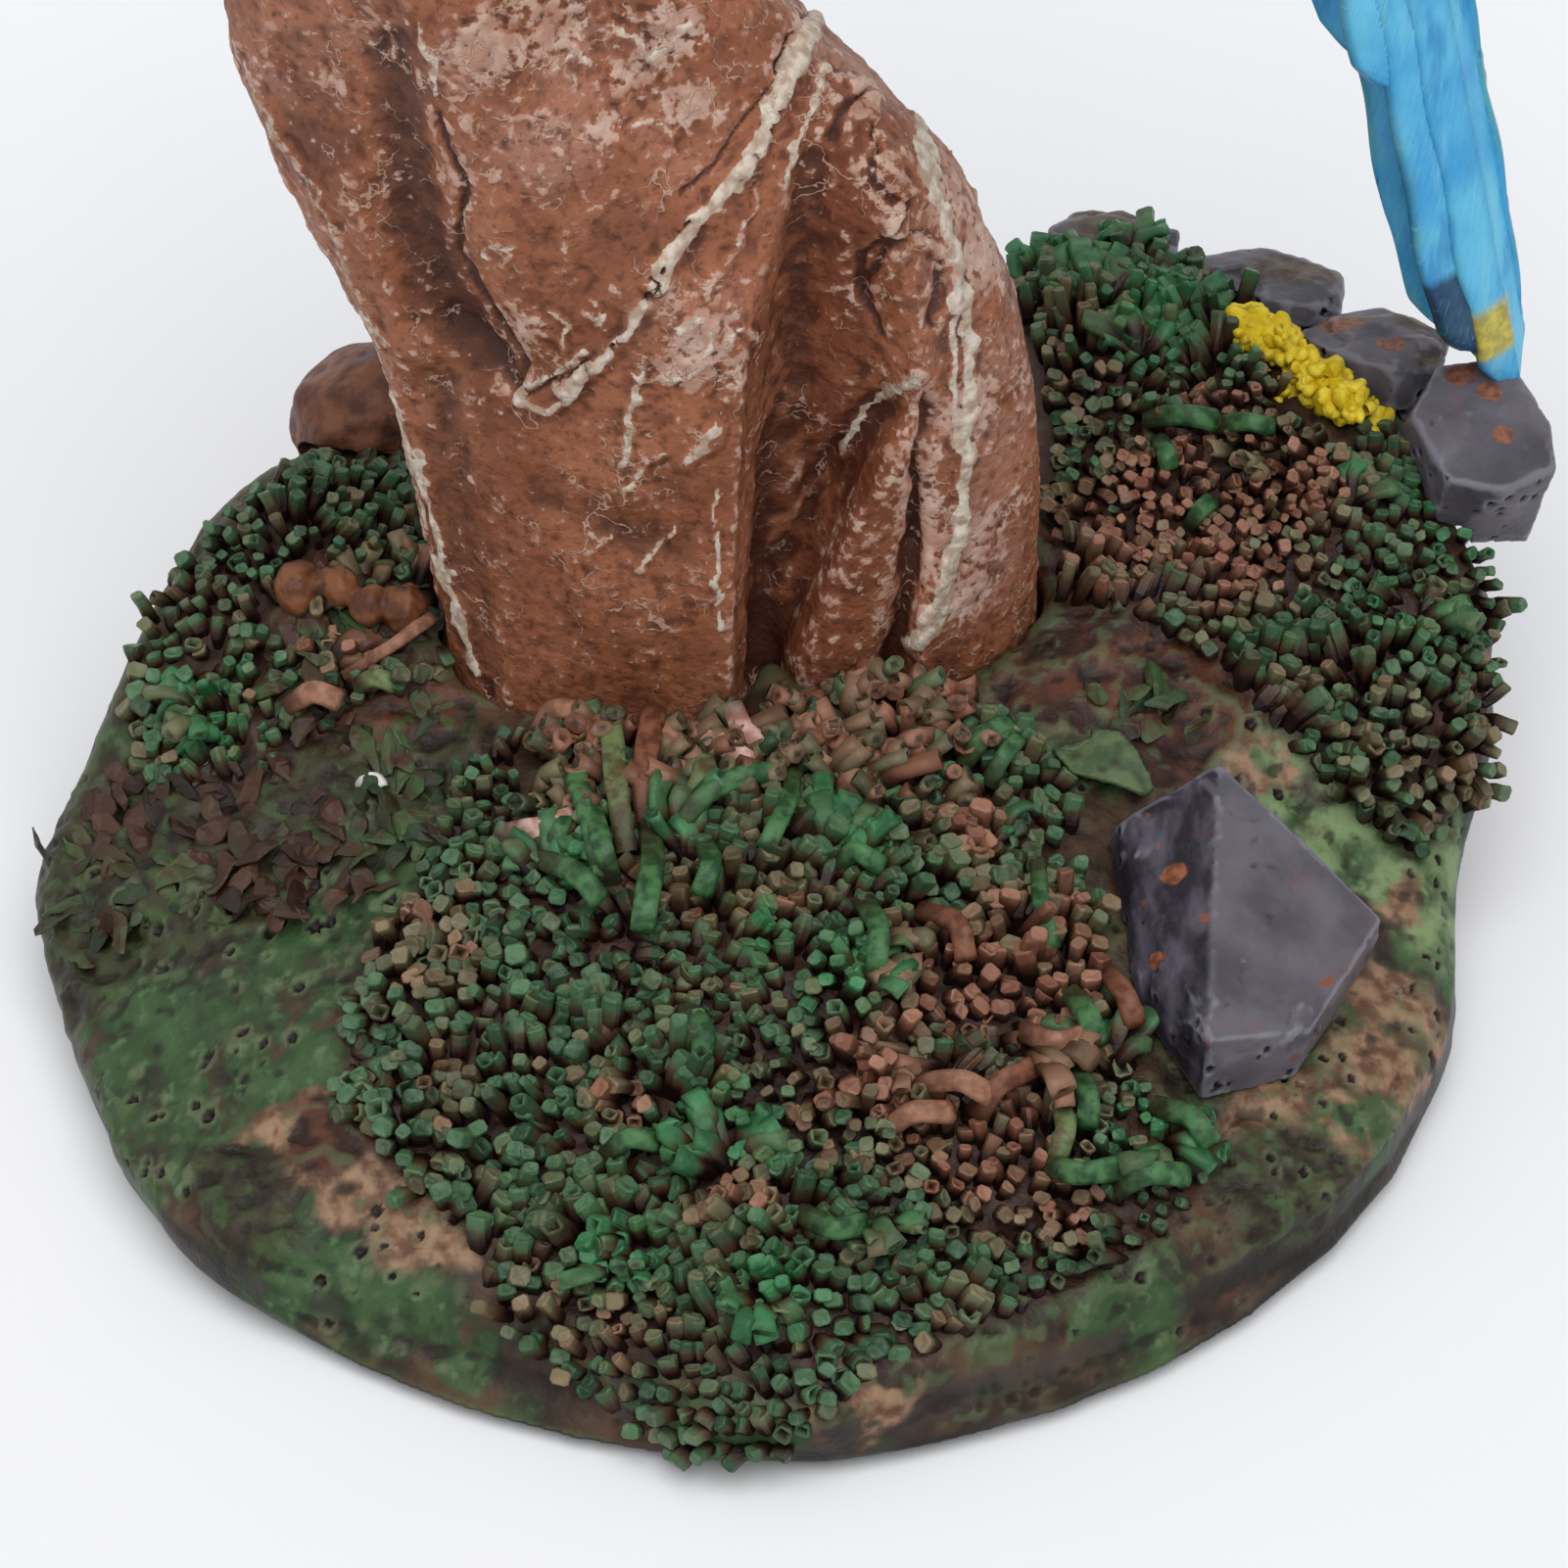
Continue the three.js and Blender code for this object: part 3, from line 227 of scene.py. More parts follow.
def nearness(points, middle, reach):
    """1 at a place, falling softly to 0 at that reach from it."""
    return 1 - soft(np.linalg.norm(points - middle, axis=1), 0.4 * reach, reach)


def spots_near(points, tree, spots):
    """How near points are to any of several spots, each a column, a row and a reach in millimetres."""
    share = np.zeros(len(points))
    for *pixel, reach in spots:
        middle = seen_at(tree, pixel)
        if middle is not None:
            share = np.maximum(share, nearness(points, middle, reach * MM))
    return share


# Fine meshes


class Skin:
    """A fine mesh held as arrays, with values painted on its points."""

    def __init__(self, points, faces):
        self.points = np.asarray(points, float)
        self.faces = np.asarray(faces, np.int64)
        self.paint = {}

    def normals(self):
        corners = self.points[self.faces]
        face = np.cross(corners[:, 2] - corners[:, 0], corners[:, 3] - corners[:, 1])
        total = np.zeros_like(self.points)
        for k in range(4):
            for axis in range(3):
                total[:, axis] += np.bincount(self.faces[:, k], face[:, axis], len(self.points))
        return unit(total)

    def around(self, values):
        """Each point's mean of its neighbours' values."""
        ends = np.concatenate([self.faces, np.roll(self.faces, 1, axis=1)]).ravel()
        starts = np.concatenate([np.roll(self.faces, 1, axis=1), self.faces]).ravel()
        count = np.maximum(np.bincount(ends, minlength=len(self.points)), 1)
        columns = values.reshape(len(values), -1).T
        sums = [np.bincount(ends, column[starts], len(self.points)) for column in columns]
        return (np.stack(sums, axis=1) / count[:, None]).reshape(values.shape)

    def smooth(self, times, share=0.6):
        for _ in range(times):
            self.points += share * (self.around(self.points) - self.points)

    def push(self, height):
        self.points += self.normals() * np.reshape(height, (-1, 1))

    def wobble(self, height, size, seed):
        """Shifts the points by smooth noise of its own in each direction."""
        shifts = [noise(self.points, size, seed + axis) for axis in range(3)]
        self.points += height * np.stack(shifts, axis=1)

    def relief(self, times, scale):
        """How far each point stands above its surroundings, from -1 to 1."""
        normals = self.normals()
        level = self.points
        for _ in range(times):
            level = self.around(level)
        return np.clip(np.einsum("ij,ij->i", self.points - level, normals) / scale, -1, 1)

    def piece(self, name, material, stands_for=(), slot=None, smooth=True):
        mesh = bpy.data.meshes.new(name)
        mesh.from_pydata(self.points.tolist(), [], self.faces.tolist())
        mesh.polygons.foreach_set("use_smooth", [smooth] * len(mesh.polygons))
        for key, values in self.paint.items():
            mesh.attributes.new(key, "FLOAT", "POINT").data.foreach_set("value", values.astype(np.float32))
        mesh.materials.append(material)
        made = placed(name, mesh)
        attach(made, "root")
        if stands_for:
            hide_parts(*stands_for)
        return made


def joined(skins):
    """Several skins as one."""
    starts = np.cumsum([0] + [len(one.points) for one in skins[:-1]])
    whole = Skin(
        np.concatenate([one.points for one in skins]),
        np.concatenate([one.faces + start for one, start in zip(skins, starts)]),
    )
    for key in skins[0].paint:
        whole.paint[key] = np.concatenate([one.paint[key] for one in skins])
    return whole


def refined(node, voxel, smoothing):
    """A CAD node's form in small even faces, with its facets smoothed away."""
    scratch = placed("scratch", nodes[node].data.copy())
    modifier = scratch.modifiers.new("voxels", "REMESH")
    modifier.mode = "VOXEL"
    modifier.voxel_size = voxel
    mesh = scratch.evaluated_get(bpy.context.evaluated_depsgraph_get()).to_mesh()
    points = np.empty(len(mesh.vertices) * 3, np.float32)
    mesh.vertices.foreach_get("co", points)
    corners = np.empty(len(mesh.loops), np.int32)
    mesh.loops.foreach_get("vertex_index", corners)
    skin = Skin(points.reshape(-1, 3), corners.reshape(-1, 4))
    bpy.data.objects.remove(scratch)
    skin.smooth(smoothing)
    return skin


BAR_SECTION = [(1, 0.6), (0.6, 1), (-0.6, 1), (-1, 0.6), (-1, -0.6), (-0.6, -1), (0.6, -1), (1, -0.6)]
ROUND_SECTION = [(math.cos(a), math.sin(a)) for a in (math.pi / 8 + math.pi / 4 * k for k in range(8))]


def sweeps(middle, side, girth, flat, dish, section=BAR_SECTION):
    """Bars along many paths as one skin.

    middle has a place and girth a width for each ring of each bar. flat is the thickness as a share of the
    width, and dish how deep the end is hollowed."""
    bars, rings = girth.shape
    sides = len(section)
    way = unit(np.gradient(middle, axis=1))
    over = unit(np.cross(way, side[:, None]))
    across = np.cross(over, way)
    corner = np.array(section) / 2
    wide = girth[..., None, None] * corner[:, :1] * across[:, :, None]
    thick = flat * girth[..., None, None] * corner[:, 1:] * over[:, :, None]
    tip = middle[:, -1] - way[:, -1] * dish * girth[:, -1:]
    points = np.concatenate([(middle[:, :, None] + wide + thick).reshape(bars, -1, 3), tip[:, None]], axis=1)
    per = rings * sides + 1
    last = per - sides - 1
    faces = [
        (r + s, r + (s + 1) % sides, r + sides + (s + 1) % sides, r + sides + s)
        for r in range(0, last, sides) for s in range(sides)
    ]
    faces += [(last + s, last + s + 1, last + (s + 2) % sides, per - 1) for s in range(0, sides, 2)]
    every = np.arange(bars)[:, None, None] * per + np.array(faces)
    skin = Skin(points.reshape(-1, 3), every.reshape(-1, 4))
    skin.paint["tip"] = np.tile(np.append(np.repeat(np.linspace(0, 1, rings), sides), 1), bars)
    skin.paint["hole"] = np.tile(np.append(np.zeros(rings * sides), 1), bars)
    return skin


# Node materials


def linear(*parts):
    """A colour as it looks on screen, each part from 0 to 255, in linear light."""
    return tuple((p / 255 / 12.92) if p <= 10 else ((p / 255 + 0.055) / 1.055) ** 2.4 for p in parts)


SHEEN = 0.2
COLOUR_A, COLOUR_B, COLOUR_RESULT = 6, 7, 2  # sockets of a mix node


class Nodes:
    """A node tree and short ways to add to it.

    A value can be a number, a socket, or a string for the value of that name on the points of the mesh. A
    colour can be a socket or three parts from 0 to 255."""

    def __init__(self, tree):
        self.tree = tree

    def give(self, socket, value):
        if isinstance(value, str):
            value = self.node("Attribute", attribute_name=value).outputs["Fac"]
        if isinstance(value, bpy.types.NodeSocket):
            self.tree.links.new(value, socket)
        elif isinstance(value, tuple):
            socket.default_value = (*linear(*value), 1)
        else:
            socket.default_value = value

    def node(self, kind, *values, **settings):
        """A new node, with its settings and what goes into its first sockets."""
        node = self.tree.nodes.new("ShaderNode" + kind)
        for name, setting in settings.items():
            setattr(node, name, setting)
        for socket, value in zip(node.inputs, values):
            self.give(socket, value)
        return node

    def math(self, operation, a, b):
        return self.node("Math", a, b, operation=operation).outputs["Value"]

    def plus(self, first, *others):
        for other in others:
            first = self.math("ADD", first, other)
        return first

    def times(self, first, *others):
        for other in others:
            first = self.math("MULTIPLY", first, other)
        return first


class Paint(Nodes):
    """A painted-resin material, built up in coats. Its colour is that of all the coats so far.

    Sizes are in millimetres."""

    def __init__(self, name):
        self.material = bpy.data.materials.new(name)
        self.material.use_nodes = True
        super().__init__(self.material.node_tree)
        self.shader = self.tree.nodes["Principled BSDF"]
        self.shader.inputs["Specular IOR Level"].default_value = SHEEN
        self.place = self.node("TexCoord").outputs["Object"]

    def noise(self, size, detail=3, stretch=(1, 1, 1)):
        place = self.node("Mapping", self.place)
        place.inputs["Scale"].default_value = [1 / (size * MM * s) for s in stretch]
        node = self.node("TexNoise", place.outputs["Vector"])
        node.inputs["Scale"].default_value = 1
        node.inputs["Detail"].default_value = detail
        return node.outputs["Fac"]

    def step(self, value, low, high):
        """A smooth step from 0 at low to 1 at high, or from 1 down to 0 where high comes first."""
        ends = (1, 0) if low > high else (0, 1)
        given = (value, min(low, high), max(low, high), *ends)
        return self.node("MapRange", *given, interpolation_type="SMOOTHSTEP").outputs["Result"]

    def specks(self, size, detail, low, high, stretch=(1, 1, 1)):
        return self.step(self.noise(size, detail, stretch), low, high)

    def threads(self, size, width, detail):
        """Thin winding lines of that share of the noise's height."""
        off = self.math("SUBTRACT", self.noise(size, detail), 0.5)
        return self.step(self.math("ABSOLUTE", off, 0.0), width, width / 3)

    def mix(self, share, a, b):
        node = self.node("Mix", share, data_type="RGBA")
        self.give(node.inputs[COLOUR_A], a)
        self.give(node.inputs[COLOUR_B], b)
        return node.outputs[COLOUR_RESULT]

    def mottled(self, size, a, b, low=0.35, high=0.65, detail=4):
        return self.mix(self.specks(size, detail, low, high), a, b)

    def coat(self, colour, *shares):
        """Lays a colour over the coats so far, as thickly as the product of the shares."""
        self.colour = self.mix(self.times(*shares), self.colour, colour)

    def finish(self, roughness, grain, depth):
        """Ends in a satin surface with a fine grain, whose height is depth."""
        self.give(self.shader.inputs["Base Color"], self.colour)
        self.shader.inputs["Roughness"].default_value = roughness
        bump = self.node("Bump")
        bump.inputs["Distance"].default_value = depth * MM
        self.give(bump.inputs["Height"], grain)
        self.give(self.shader.inputs["Normal"], bump.outputs["Normal"])
        return self.material


# Stage

FLOOR_SIDE = 6000 * MM
WORLD_STRENGTH = 0.42
LAMPS = [
    ("key", Vector((60, -260, 640)), math.radians(55), 1.75),
    ("fill", Vector((-420, -300, 420)), math.radians(90), 0.35),
]


def make_world():
    """Clear white for the camera and in reflections, and dimmer as a light."""
    world = bpy.data.worlds.new("world")
    world.use_nodes = True
    sky = Nodes(world.node_tree)
    background = sky.tree.nodes["Background"]
    sky.give(background.inputs["Color"], (250, 252, 255))
    path = sky.node("LightPath").outputs
    clear = sky.math("MAXIMUM", path["Is Glossy Ray"], path["Is Transmission Ray"])
    seen = sky.math("MAXIMUM", path["Is Camera Ray"], clear)
    strength = sky.node("MapRange", seen, 0, 1, WORLD_STRENGTH, 1)
    sky.give(background.inputs["Strength"], strength.outputs["Result"])
    bpy.context.scene.world = world


def make_stage():
    paint = Paint("floor_paint")
    paint.colour = paint.mottled(90, (250, 250, 252), (247, 248, 250))
    paint.finish(0.9, paint.noise(2), 0.01)
    half = FLOOR_SIDE / 2
    mesh = bpy.data.meshes.new("floor")
    corners = [(-half, -half, 0), (half, -half, 0), (half, half, 0), (-half, half, 0)]
    mesh.from_pydata(corners, [], [(0, 1, 2, 3)])
    mesh.materials.append(paint.material)
    floor = placed("floor", mesh)

    for name, place, breadth, power in LAMPS:
        light = bpy.data.lights.new(name, "SUN")
        light.angle = breadth
        light.energy = power
        lamp = placed(name, light)
        lamp.location = place * MM
        lamp.rotation_mode = "QUATERNION"
        lamp.rotation_quaternion = place.to_track_quat("Z", "Y")


# Mound: each zone of paint has spots, and a spot is a pixel of the photograph and a reach in millimetres

GROUND_VOXEL = 0.42 * MM
GROUND_ZONES = {
    "green": [
        (190, 1010, 13), (260, 1080, 12), (170, 1130, 9), (430, 860, 9), (330, 950, 8), (1340, 790, 9),
        (1420, 860, 9), (1465, 960, 6), (1160, 1330, 6), (745, 1470, 5), (330, 1300, 8), (1110, 770, 5),
        (210, 1060, 9), (90, 930, 6), (1390, 1160, 5), (1290, 730, 6), (420, 1330, 5), (470, 1380, 4),
    ],
    "lit": [(1340, 800, 10), (1400, 870, 9), (1300, 740, 6), (1450, 930, 6)],
    "tan": [
        (440, 1250, 5.5), (1400, 1040, 8), (300, 1170, 4.5), (1330, 1150, 6), (880, 1420, 4), (1270, 780, 3),
        (1430, 930, 4), (360, 1210, 4),
    ],
    "brown": [
        (1150, 650, 9), (1100, 600, 7), (1215, 700, 7), (1090, 700, 6), (1180, 750, 6), (360, 660, 7),
        (420, 700, 6), (330, 1170, 3),
    ],
    "dark": [
        (130, 880, 10), (230, 850, 10), (320, 820, 8), (250, 1230, 5), (90, 980, 6), (430, 740, 6),
        (380, 780, 7), (430, 820, 6), (200, 920, 8), (60, 1000, 5), (1330, 1210, 6),
    ],
}
PIT_SIZE = 1.9 * MM


def zone(points, spots):
    """How strongly the ground carries a zone's paint."""
    share = np.zeros(len(points))
    ragged = 3.2 * MM * rough(points, 6 * MM, 4, 31)
    for *pixel, reach in spots:
        middle = seen_at(ground_tree, pixel)
        if middle is not None:
            away = np.linalg.norm(points - middle, axis=1) + ragged
            share = np.maximum(share, 1 - soft(away, 0.75 * reach * MM, reach * MM))
    return share


def ground_paint():
    paint = Paint("ground_paint")
    paint.colour = paint.mottled(9, (34, 30, 28), (66, 58, 54), 0.4, 0.65)
    paint.coat((46, 66, 46), paint.specks(7, 4, 0.58, 0.7, (1, 1, 0.5)))
    paint.coat((96, 58, 42), paint.specks(6, 4, 0.62, 0.7, (1.2, 1, 0.5)), 0.7)
    paint.coat(paint.mottled(5, (40, 30, 22), (84, 62, 46)), "top")
    green = paint.mottled(4, (36, 56, 32), (62, 88, 52), 0.35, 0.7)
    green = paint.mix(paint.specks(1.6, 5, 0.54, 0.74), green, (88, 112, 76))
    lit = paint.times("lit", paint.specks(2.6, 5, 0.3, 0.6))
    green = paint.mix(lit, green, (122, 144, 100))
    streaks = paint.noise(4, 5)
    paint.coat(green, "green", paint.step(streaks, 0.34, 0.5))
    paint.coat(green, paint.specks(7, 5, 0.5, 0.66), "top", 0.6)
    tan = paint.mottled(1.6, (96, 66, 48), (156, 124, 98))
    paint.coat(tan, "tan", paint.step(streaks, 0.62, 0.5))
    paint.coat(paint.mottled(3, (34, 22, 16), (58, 58, 36)), "dark", 0.95)
    paint.coat(paint.mottled(4, (44, 22, 17), (92, 52, 38)), "brown", 0.95)
    paint.coat((60, 84, 46), "dark", paint.specks(1.8, 5, 0.52, 0.64), 0.6)
    # Raised ground that faces up is lighter: dry-brush paint together with a painted highlight from above
    drybrush_and_highlight = paint.times(paint.step("relief", 0.25, 1.0), "top", 0.4)
    paint.coat((92, 108, 74), drybrush_and_highlight, paint.step("dark", 1.3, 0.0))
    # Creases darker: a dark wash together with painted shade
    paint.coat((24, 16, 12), paint.step("relief", -0.1, -0.9), 0.75)
    paint.coat((112, 122, 92), "rims", 0.4)
    # The pits are painted near black: painted shade inside them
    paint.coat((26, 16, 12), paint.step("pits", 0.15, 0.6))
    # Ground under the moss patches is painted dark brown: painted shade between the strands
    paint.coat(paint.mottled(1.5, (34, 20, 15), (64, 38, 28)), "covered", 0.9)
    return paint.finish(0.42, paint.noise(0.5, 5), 0.12)


def make_ground():
    skin = refined("base_mound", GROUND_VOXEL, 14)
    points = skin.points.copy()
    top = soft(skin.normals()[:, 2], 0.2, 0.55)
    rise = soft(points[:, 2], 1.6 * MM, 3.2 * MM)
    zones = {key: zone(points, spots) for key, spots in GROUND_ZONES.items()}
    near, _, luck = cells(points, PIT_SIZE, 5)
    carried = 0.3 + 0.7 * np.maximum(zones["green"], zones["tan"])
    pitted = soft(rough(points, 9 * MM, 2, 3), -0.25, 0.05) * carried
    depth = 0.16 + 0.22 * luck
    pits = pitted * (luck > 0.3) * (1 - soft(near, 0.6 * depth, depth)) * top
    rims = pitted * (luck > 0.3) * np.exp(-(((near - 1.15 * depth) / 0.09) ** 2)) * top
    lumps = 0.75 * MM * rough(points, 8 * MM, 5, 1) + 0.35 * MM * rough(points, 2.2 * MM, 3, 14)
    folded = 0.6 - 2.2 * np.abs(rough(points * np.array([0.6, 1, 1]), 5 * MM, 4, 9))
    crinkles = 1.3 * MM * np.maximum(zones["dark"], 0.6 * zones["brown"]) * folded
    waves = 0.9 * MM * noise(points * np.array([1, 1, 0.4]), 13 * MM, 12) * (1 - top)
    height = (lumps + crinkles) * (0.3 + 0.7 * top) + waves - 0.6 * MM * pits + 0.12 * MM * rims
    skin.push(rise * height)
    skin.paint.update(zones)
    covered = under_moss(points)
    for _ in range(3):
        covered = skin.around(covered)
    skin.paint.update(pits=pits, rims=rims, top=top, covered=covered, relief=skin.relief(6, 0.1 * MM))
    skin.piece("ground", ground_paint(), ["base_mound"], "earth_resin")


MOSS_NODES = ["front_moss", "left_moss", "right_moss", "rear_moss"]


def under_moss(points):
    """1 where a moss patch lies over the ground."""
    covered = np.zeros(len(points))
    for node in MOSS_NODES + ["foot_grass"]:
        low, high = (np.array(corner[:2]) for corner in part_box(node))
        inside = ((points[:, :2] > low) & (points[:, :2] < high)).all(axis=1)
        tree = tree_of(node)
        for k in np.nonzero(inside)[0]:
            hit, _ = from_above(tree, points[k, 0], points[k, 1])
            covered[k] = max(covered[k], hit is not None)
    return covered


def make_felt():
    skin = refined("underside_felt", 0.5 * MM, 1)
    side = 1 - np.abs(skin.normals()[:, 2])
    skin.push(0.12 * MM * side * noise(skin.points, 0.9 * MM, 2))
    paint = Paint("felt_cloth")
    paint.colour = paint.mottled(1.2, (30, 30, 28), (52, 50, 46))
    paint.shader.inputs["Sheen Weight"].default_value = 0.4
    cloth = paint.finish(0.95, paint.noise(0.3, 6), 0.15)
    felt = skin.piece("felt", cloth, ["underside_felt"], "felt")


# Trunk: lines of pixels that lie on what the camera sees of it. Hollows, cuts and ridges have a width and a
# depth or height in millimetres. Hollows also give the strength of their dark paint, a wash together with
# painted shade, and ridges the strength of their cream paint. Swells have a width in pixels and a height in
# millimetres, and shades, which darken the hollow with painted shade, a width in pixels

TRUNK_VOXEL = 0.36 * MM
VINE = [
    (836, 10), (797, 88), (771, 152), (730, 205), (698, 240), (669, 287), (639, 340), (606, 374), (575, 398),
]
TRUNK_HOLLOWS = [
    ([(392, 60), (405, 150), (425, 240), (455, 320), (495, 368)], 2.5, 1.5, 0.75),
    ([(448, 400), (462, 520), (482, 620), (492, 700)], 2.0, 0.9, 0.4),
    ([(826, 170), (818, 260), (812, 350), (806, 440)], 1.6, 1.2, 0.3),
    ([(794, 460), (788, 560), (780, 690)], 1.3, 1.6, 0.5),
    ([(948, 420), (940, 520), (916, 640), (896, 720)], 0.8, 1.4, 0.5),
    ([(896, 412), (846, 470), (806, 540), (790, 590)], 1.2, 0.9, 0.45),
    ([(310, 60), (330, 150)], 3.5, 0.6, 0.3),
    ([(560, 500), (610, 530), (690, 560)], 1.8, 0.4, 0.35),
    ([(700, 250), (650, 230), (630, 246)], 2.5, 0.4, 0.3),
]
TRUNK_SWELLS = [
    ([(915, 170), (920, 260), (926, 370)], 34, 2.8),
    ([(880, 120), (874, 220), (868, 330), (860, 420)], 40, 1.6),
    ([(900, 470), (858, 570), (826, 690)], 46, 2.6),
    ([(345, 150), (375, 260), (410, 360)], 22, 0.9),
    ([(475, 140), (500, 230), (540, 330)], 26, 0.7),
    ([(560, 470), (620, 640)], 60, 0.8),
    ([(700, 560), (740, 640)], 40, 0.5),
]
TRUNK_CUTS = [
    ([(441, 120), (474, 190), (463, 262), (532, 376)], 0.45, 0.6),
    ([(455, 332), (500, 366), (530, 394)], 0.7, 0.8),
    ([(535, 405), (602, 366)], 0.3, 0.45),
    ([(830, 8), (806, 46), (792, 76)], 0.4, 0.9),
    ([(786, 84), (744, 142), (700, 196)], 0.2, 0.3),
    ([(892, 130), (889, 190), (926, 207)], 0.45, 0.6),
    ([(880, 96), (860, 110), (846, 140)], 0.5, 0.5),
    ([(934, 236), (900, 252), (884, 300), (900, 340)], 0.35, 0.5),
    ([(942, 402), (935, 500), (929, 560)], 0.4, 0.6),
    ([(904, 240), (876, 262), (884, 300)], 0.4, 0.4),
    ([(960, 262), (950, 330)], 0.4, 0.4),
]
TRUNK_RIDGES = [
    (VINE[:6], 0.85, 0.55, 1.0),
    (VINE[5:], 0.42, 0.5, 1.0),
    ([(812, 70), (786, 120), (778, 150)], 0.25, 0.3, 0.9),
    ([(838, 76), (822, 120), (806, 160), (800, 190)], 0.3, 0.3, 0.8),
    ([(770, 196), (752, 246), (722, 300)], 0.25, 0.3, 0.5),
    ([(560, 318), (584, 330), (574, 356)], 0.3, 0.3, 0.7),
    ([(430, 20), (436, 60)], 0.3, 0.2, 0.6),
    ([(560, 70), (590, 50), (604, 66)], 0.3, 0.3, 0.7),
    ([(640, 130), (668, 122), (684, 140)], 0.3, 0.3, 0.6),
    ([(690, 330), (716, 318), (732, 340), (720, 356)], 0.35, 0.4, 0.7),
    ([(740, 350), (756, 330), (772, 350)], 0.3, 0.4, 0.7),
    ([(520, 120), (556, 112), (574, 126)], 0.3, 0.3, 0.5),
    ([(640, 496), (662, 470), (680, 462)], 0.35, 0.3, 0.6),
    ([(600, 560), (622, 548)], 0.25, 0.2, 0.6),
    ([(480, 210), (470, 240)], 0.3, 0.3, 0.6),
    ([(532, 398), (600, 358)], 0.25, 0.35, 1.0),
    ([(528, 404), (560, 420), (612, 372)], 0.3, 0.35, 1.0),
    ([(402, 404), (425, 469), (452, 580), (484, 690)], 0.4, 0.4, 0.8),
    ([(240, 40), (270, 120), (332, 215), (392, 355)], 0.45, 0.3, 0.5),
    ([(838, 76), (885, 94), (897, 158), (932, 193), (903, 234), (960, 258), (979, 310), (955, 330)],
     0.32, 0.5, 0.45),
    ([(935, 125), (960, 234), (985, 316), (988, 410), (981, 527), (957, 620), (930, 662)], 0.7, 0.4, 0.85),
    ([(972, 300), (968, 400), (984, 470)], 0.35, 0.3, 0.9),
    ([(937, 384), (912, 396), (888, 414), (862, 457)], 0.4, 0.4, 0.9),
    ([(862, 457), (827, 498), (799, 556), (783, 603)], 0.45, 0.3, 0.2),
    ([(656, 371), (646, 420), (636, 472)], 0.4, 0.3, 0.8),
    ([(728, 500), (731, 570), (734, 640)], 0.22, 0.25, 0.9),
    ([(733, 433), (716, 455), (698, 472)], 0.5, 0.3, 0.6),
    ([(690, 540), (672, 560), (655, 582)], 0.3, 0.2, 0.7),
    ([(438, 46), (446, 96)], 0.35, 0.3, 0.7),
    ([(967, 568), (952, 606), (938, 652)], 0.28, 0.3, 0.9),
    ([(704, 20), (664, 58), (650, 44), (620, 24)], 0.4, 0.3, 0.7),
    ([(690, 22), (636, 12)], 0.3, 0.4, 0.5),
    ([(640, 380), (700, 386), (716, 366)], 0.3, 0.3, 0.6),
    ([(388, 30), (392, 70)], 0.3, 0.2, 0.5),
    ([(605, 310), (622, 330), (598, 322)], 0.3, 0.3, 0.6),
    ([(496, 258), (530, 246), (520, 262)], 0.25, 0.2, 0.7),
]
TRUNK_SHADES = [
    ([(862, 120), (860, 250), (850, 400), (870, 470)], 36),
    ([(890, 480), (860, 600), (830, 700)], 48),
]
TRUNK_VEILS = [
    (600, 60, 6), (470, 70, 4), (1020, 330, 8), (1000, 540, 7), (280, 60, 6), (1000, 240, 9), (1015, 430, 8),
    (700, 340, 6), (700, 130, 5), (1010, 600, 6), (360, 30, 5), (860, 60, 6), (560, 150, 6),
]
TRUNK_PATCHES = [
    (505, 40, 4.5), (560, 16, 4), (700, 380, 3), (962, 190, 5), (986, 560, 5), (330, 90, 2.2), (690, 36, 3.5),
    (722, 345, 3.5), (760, 380, 2.5), (530, 330, 3), (985, 610, 4), (655, 75, 3), (990, 420, 4),
    (1010, 250, 5), (440, 130, 1.8), (470, 190, 1.5), (620, 130, 2), (700, 110, 2.5),
]


def bark_relief(skin, seed):
    """Long folds, wrinkles and crusts, as on gnarled bark."""
    points = skin.points
    folds = rough(points * np.array([1, 1, 0.28]), 7 * MM, 4, seed)
    wrinkles = 1 - np.abs(rough(points * np.array([1, 1, 0.5]), 2.6 * MM, 4, seed + 5)) * 2.4
    skin.push(0.4 * MM * folds + 0.13 * MM * wrinkles + 0.13 * MM * rough(points, 1.2 * MM, 2, seed + 8))


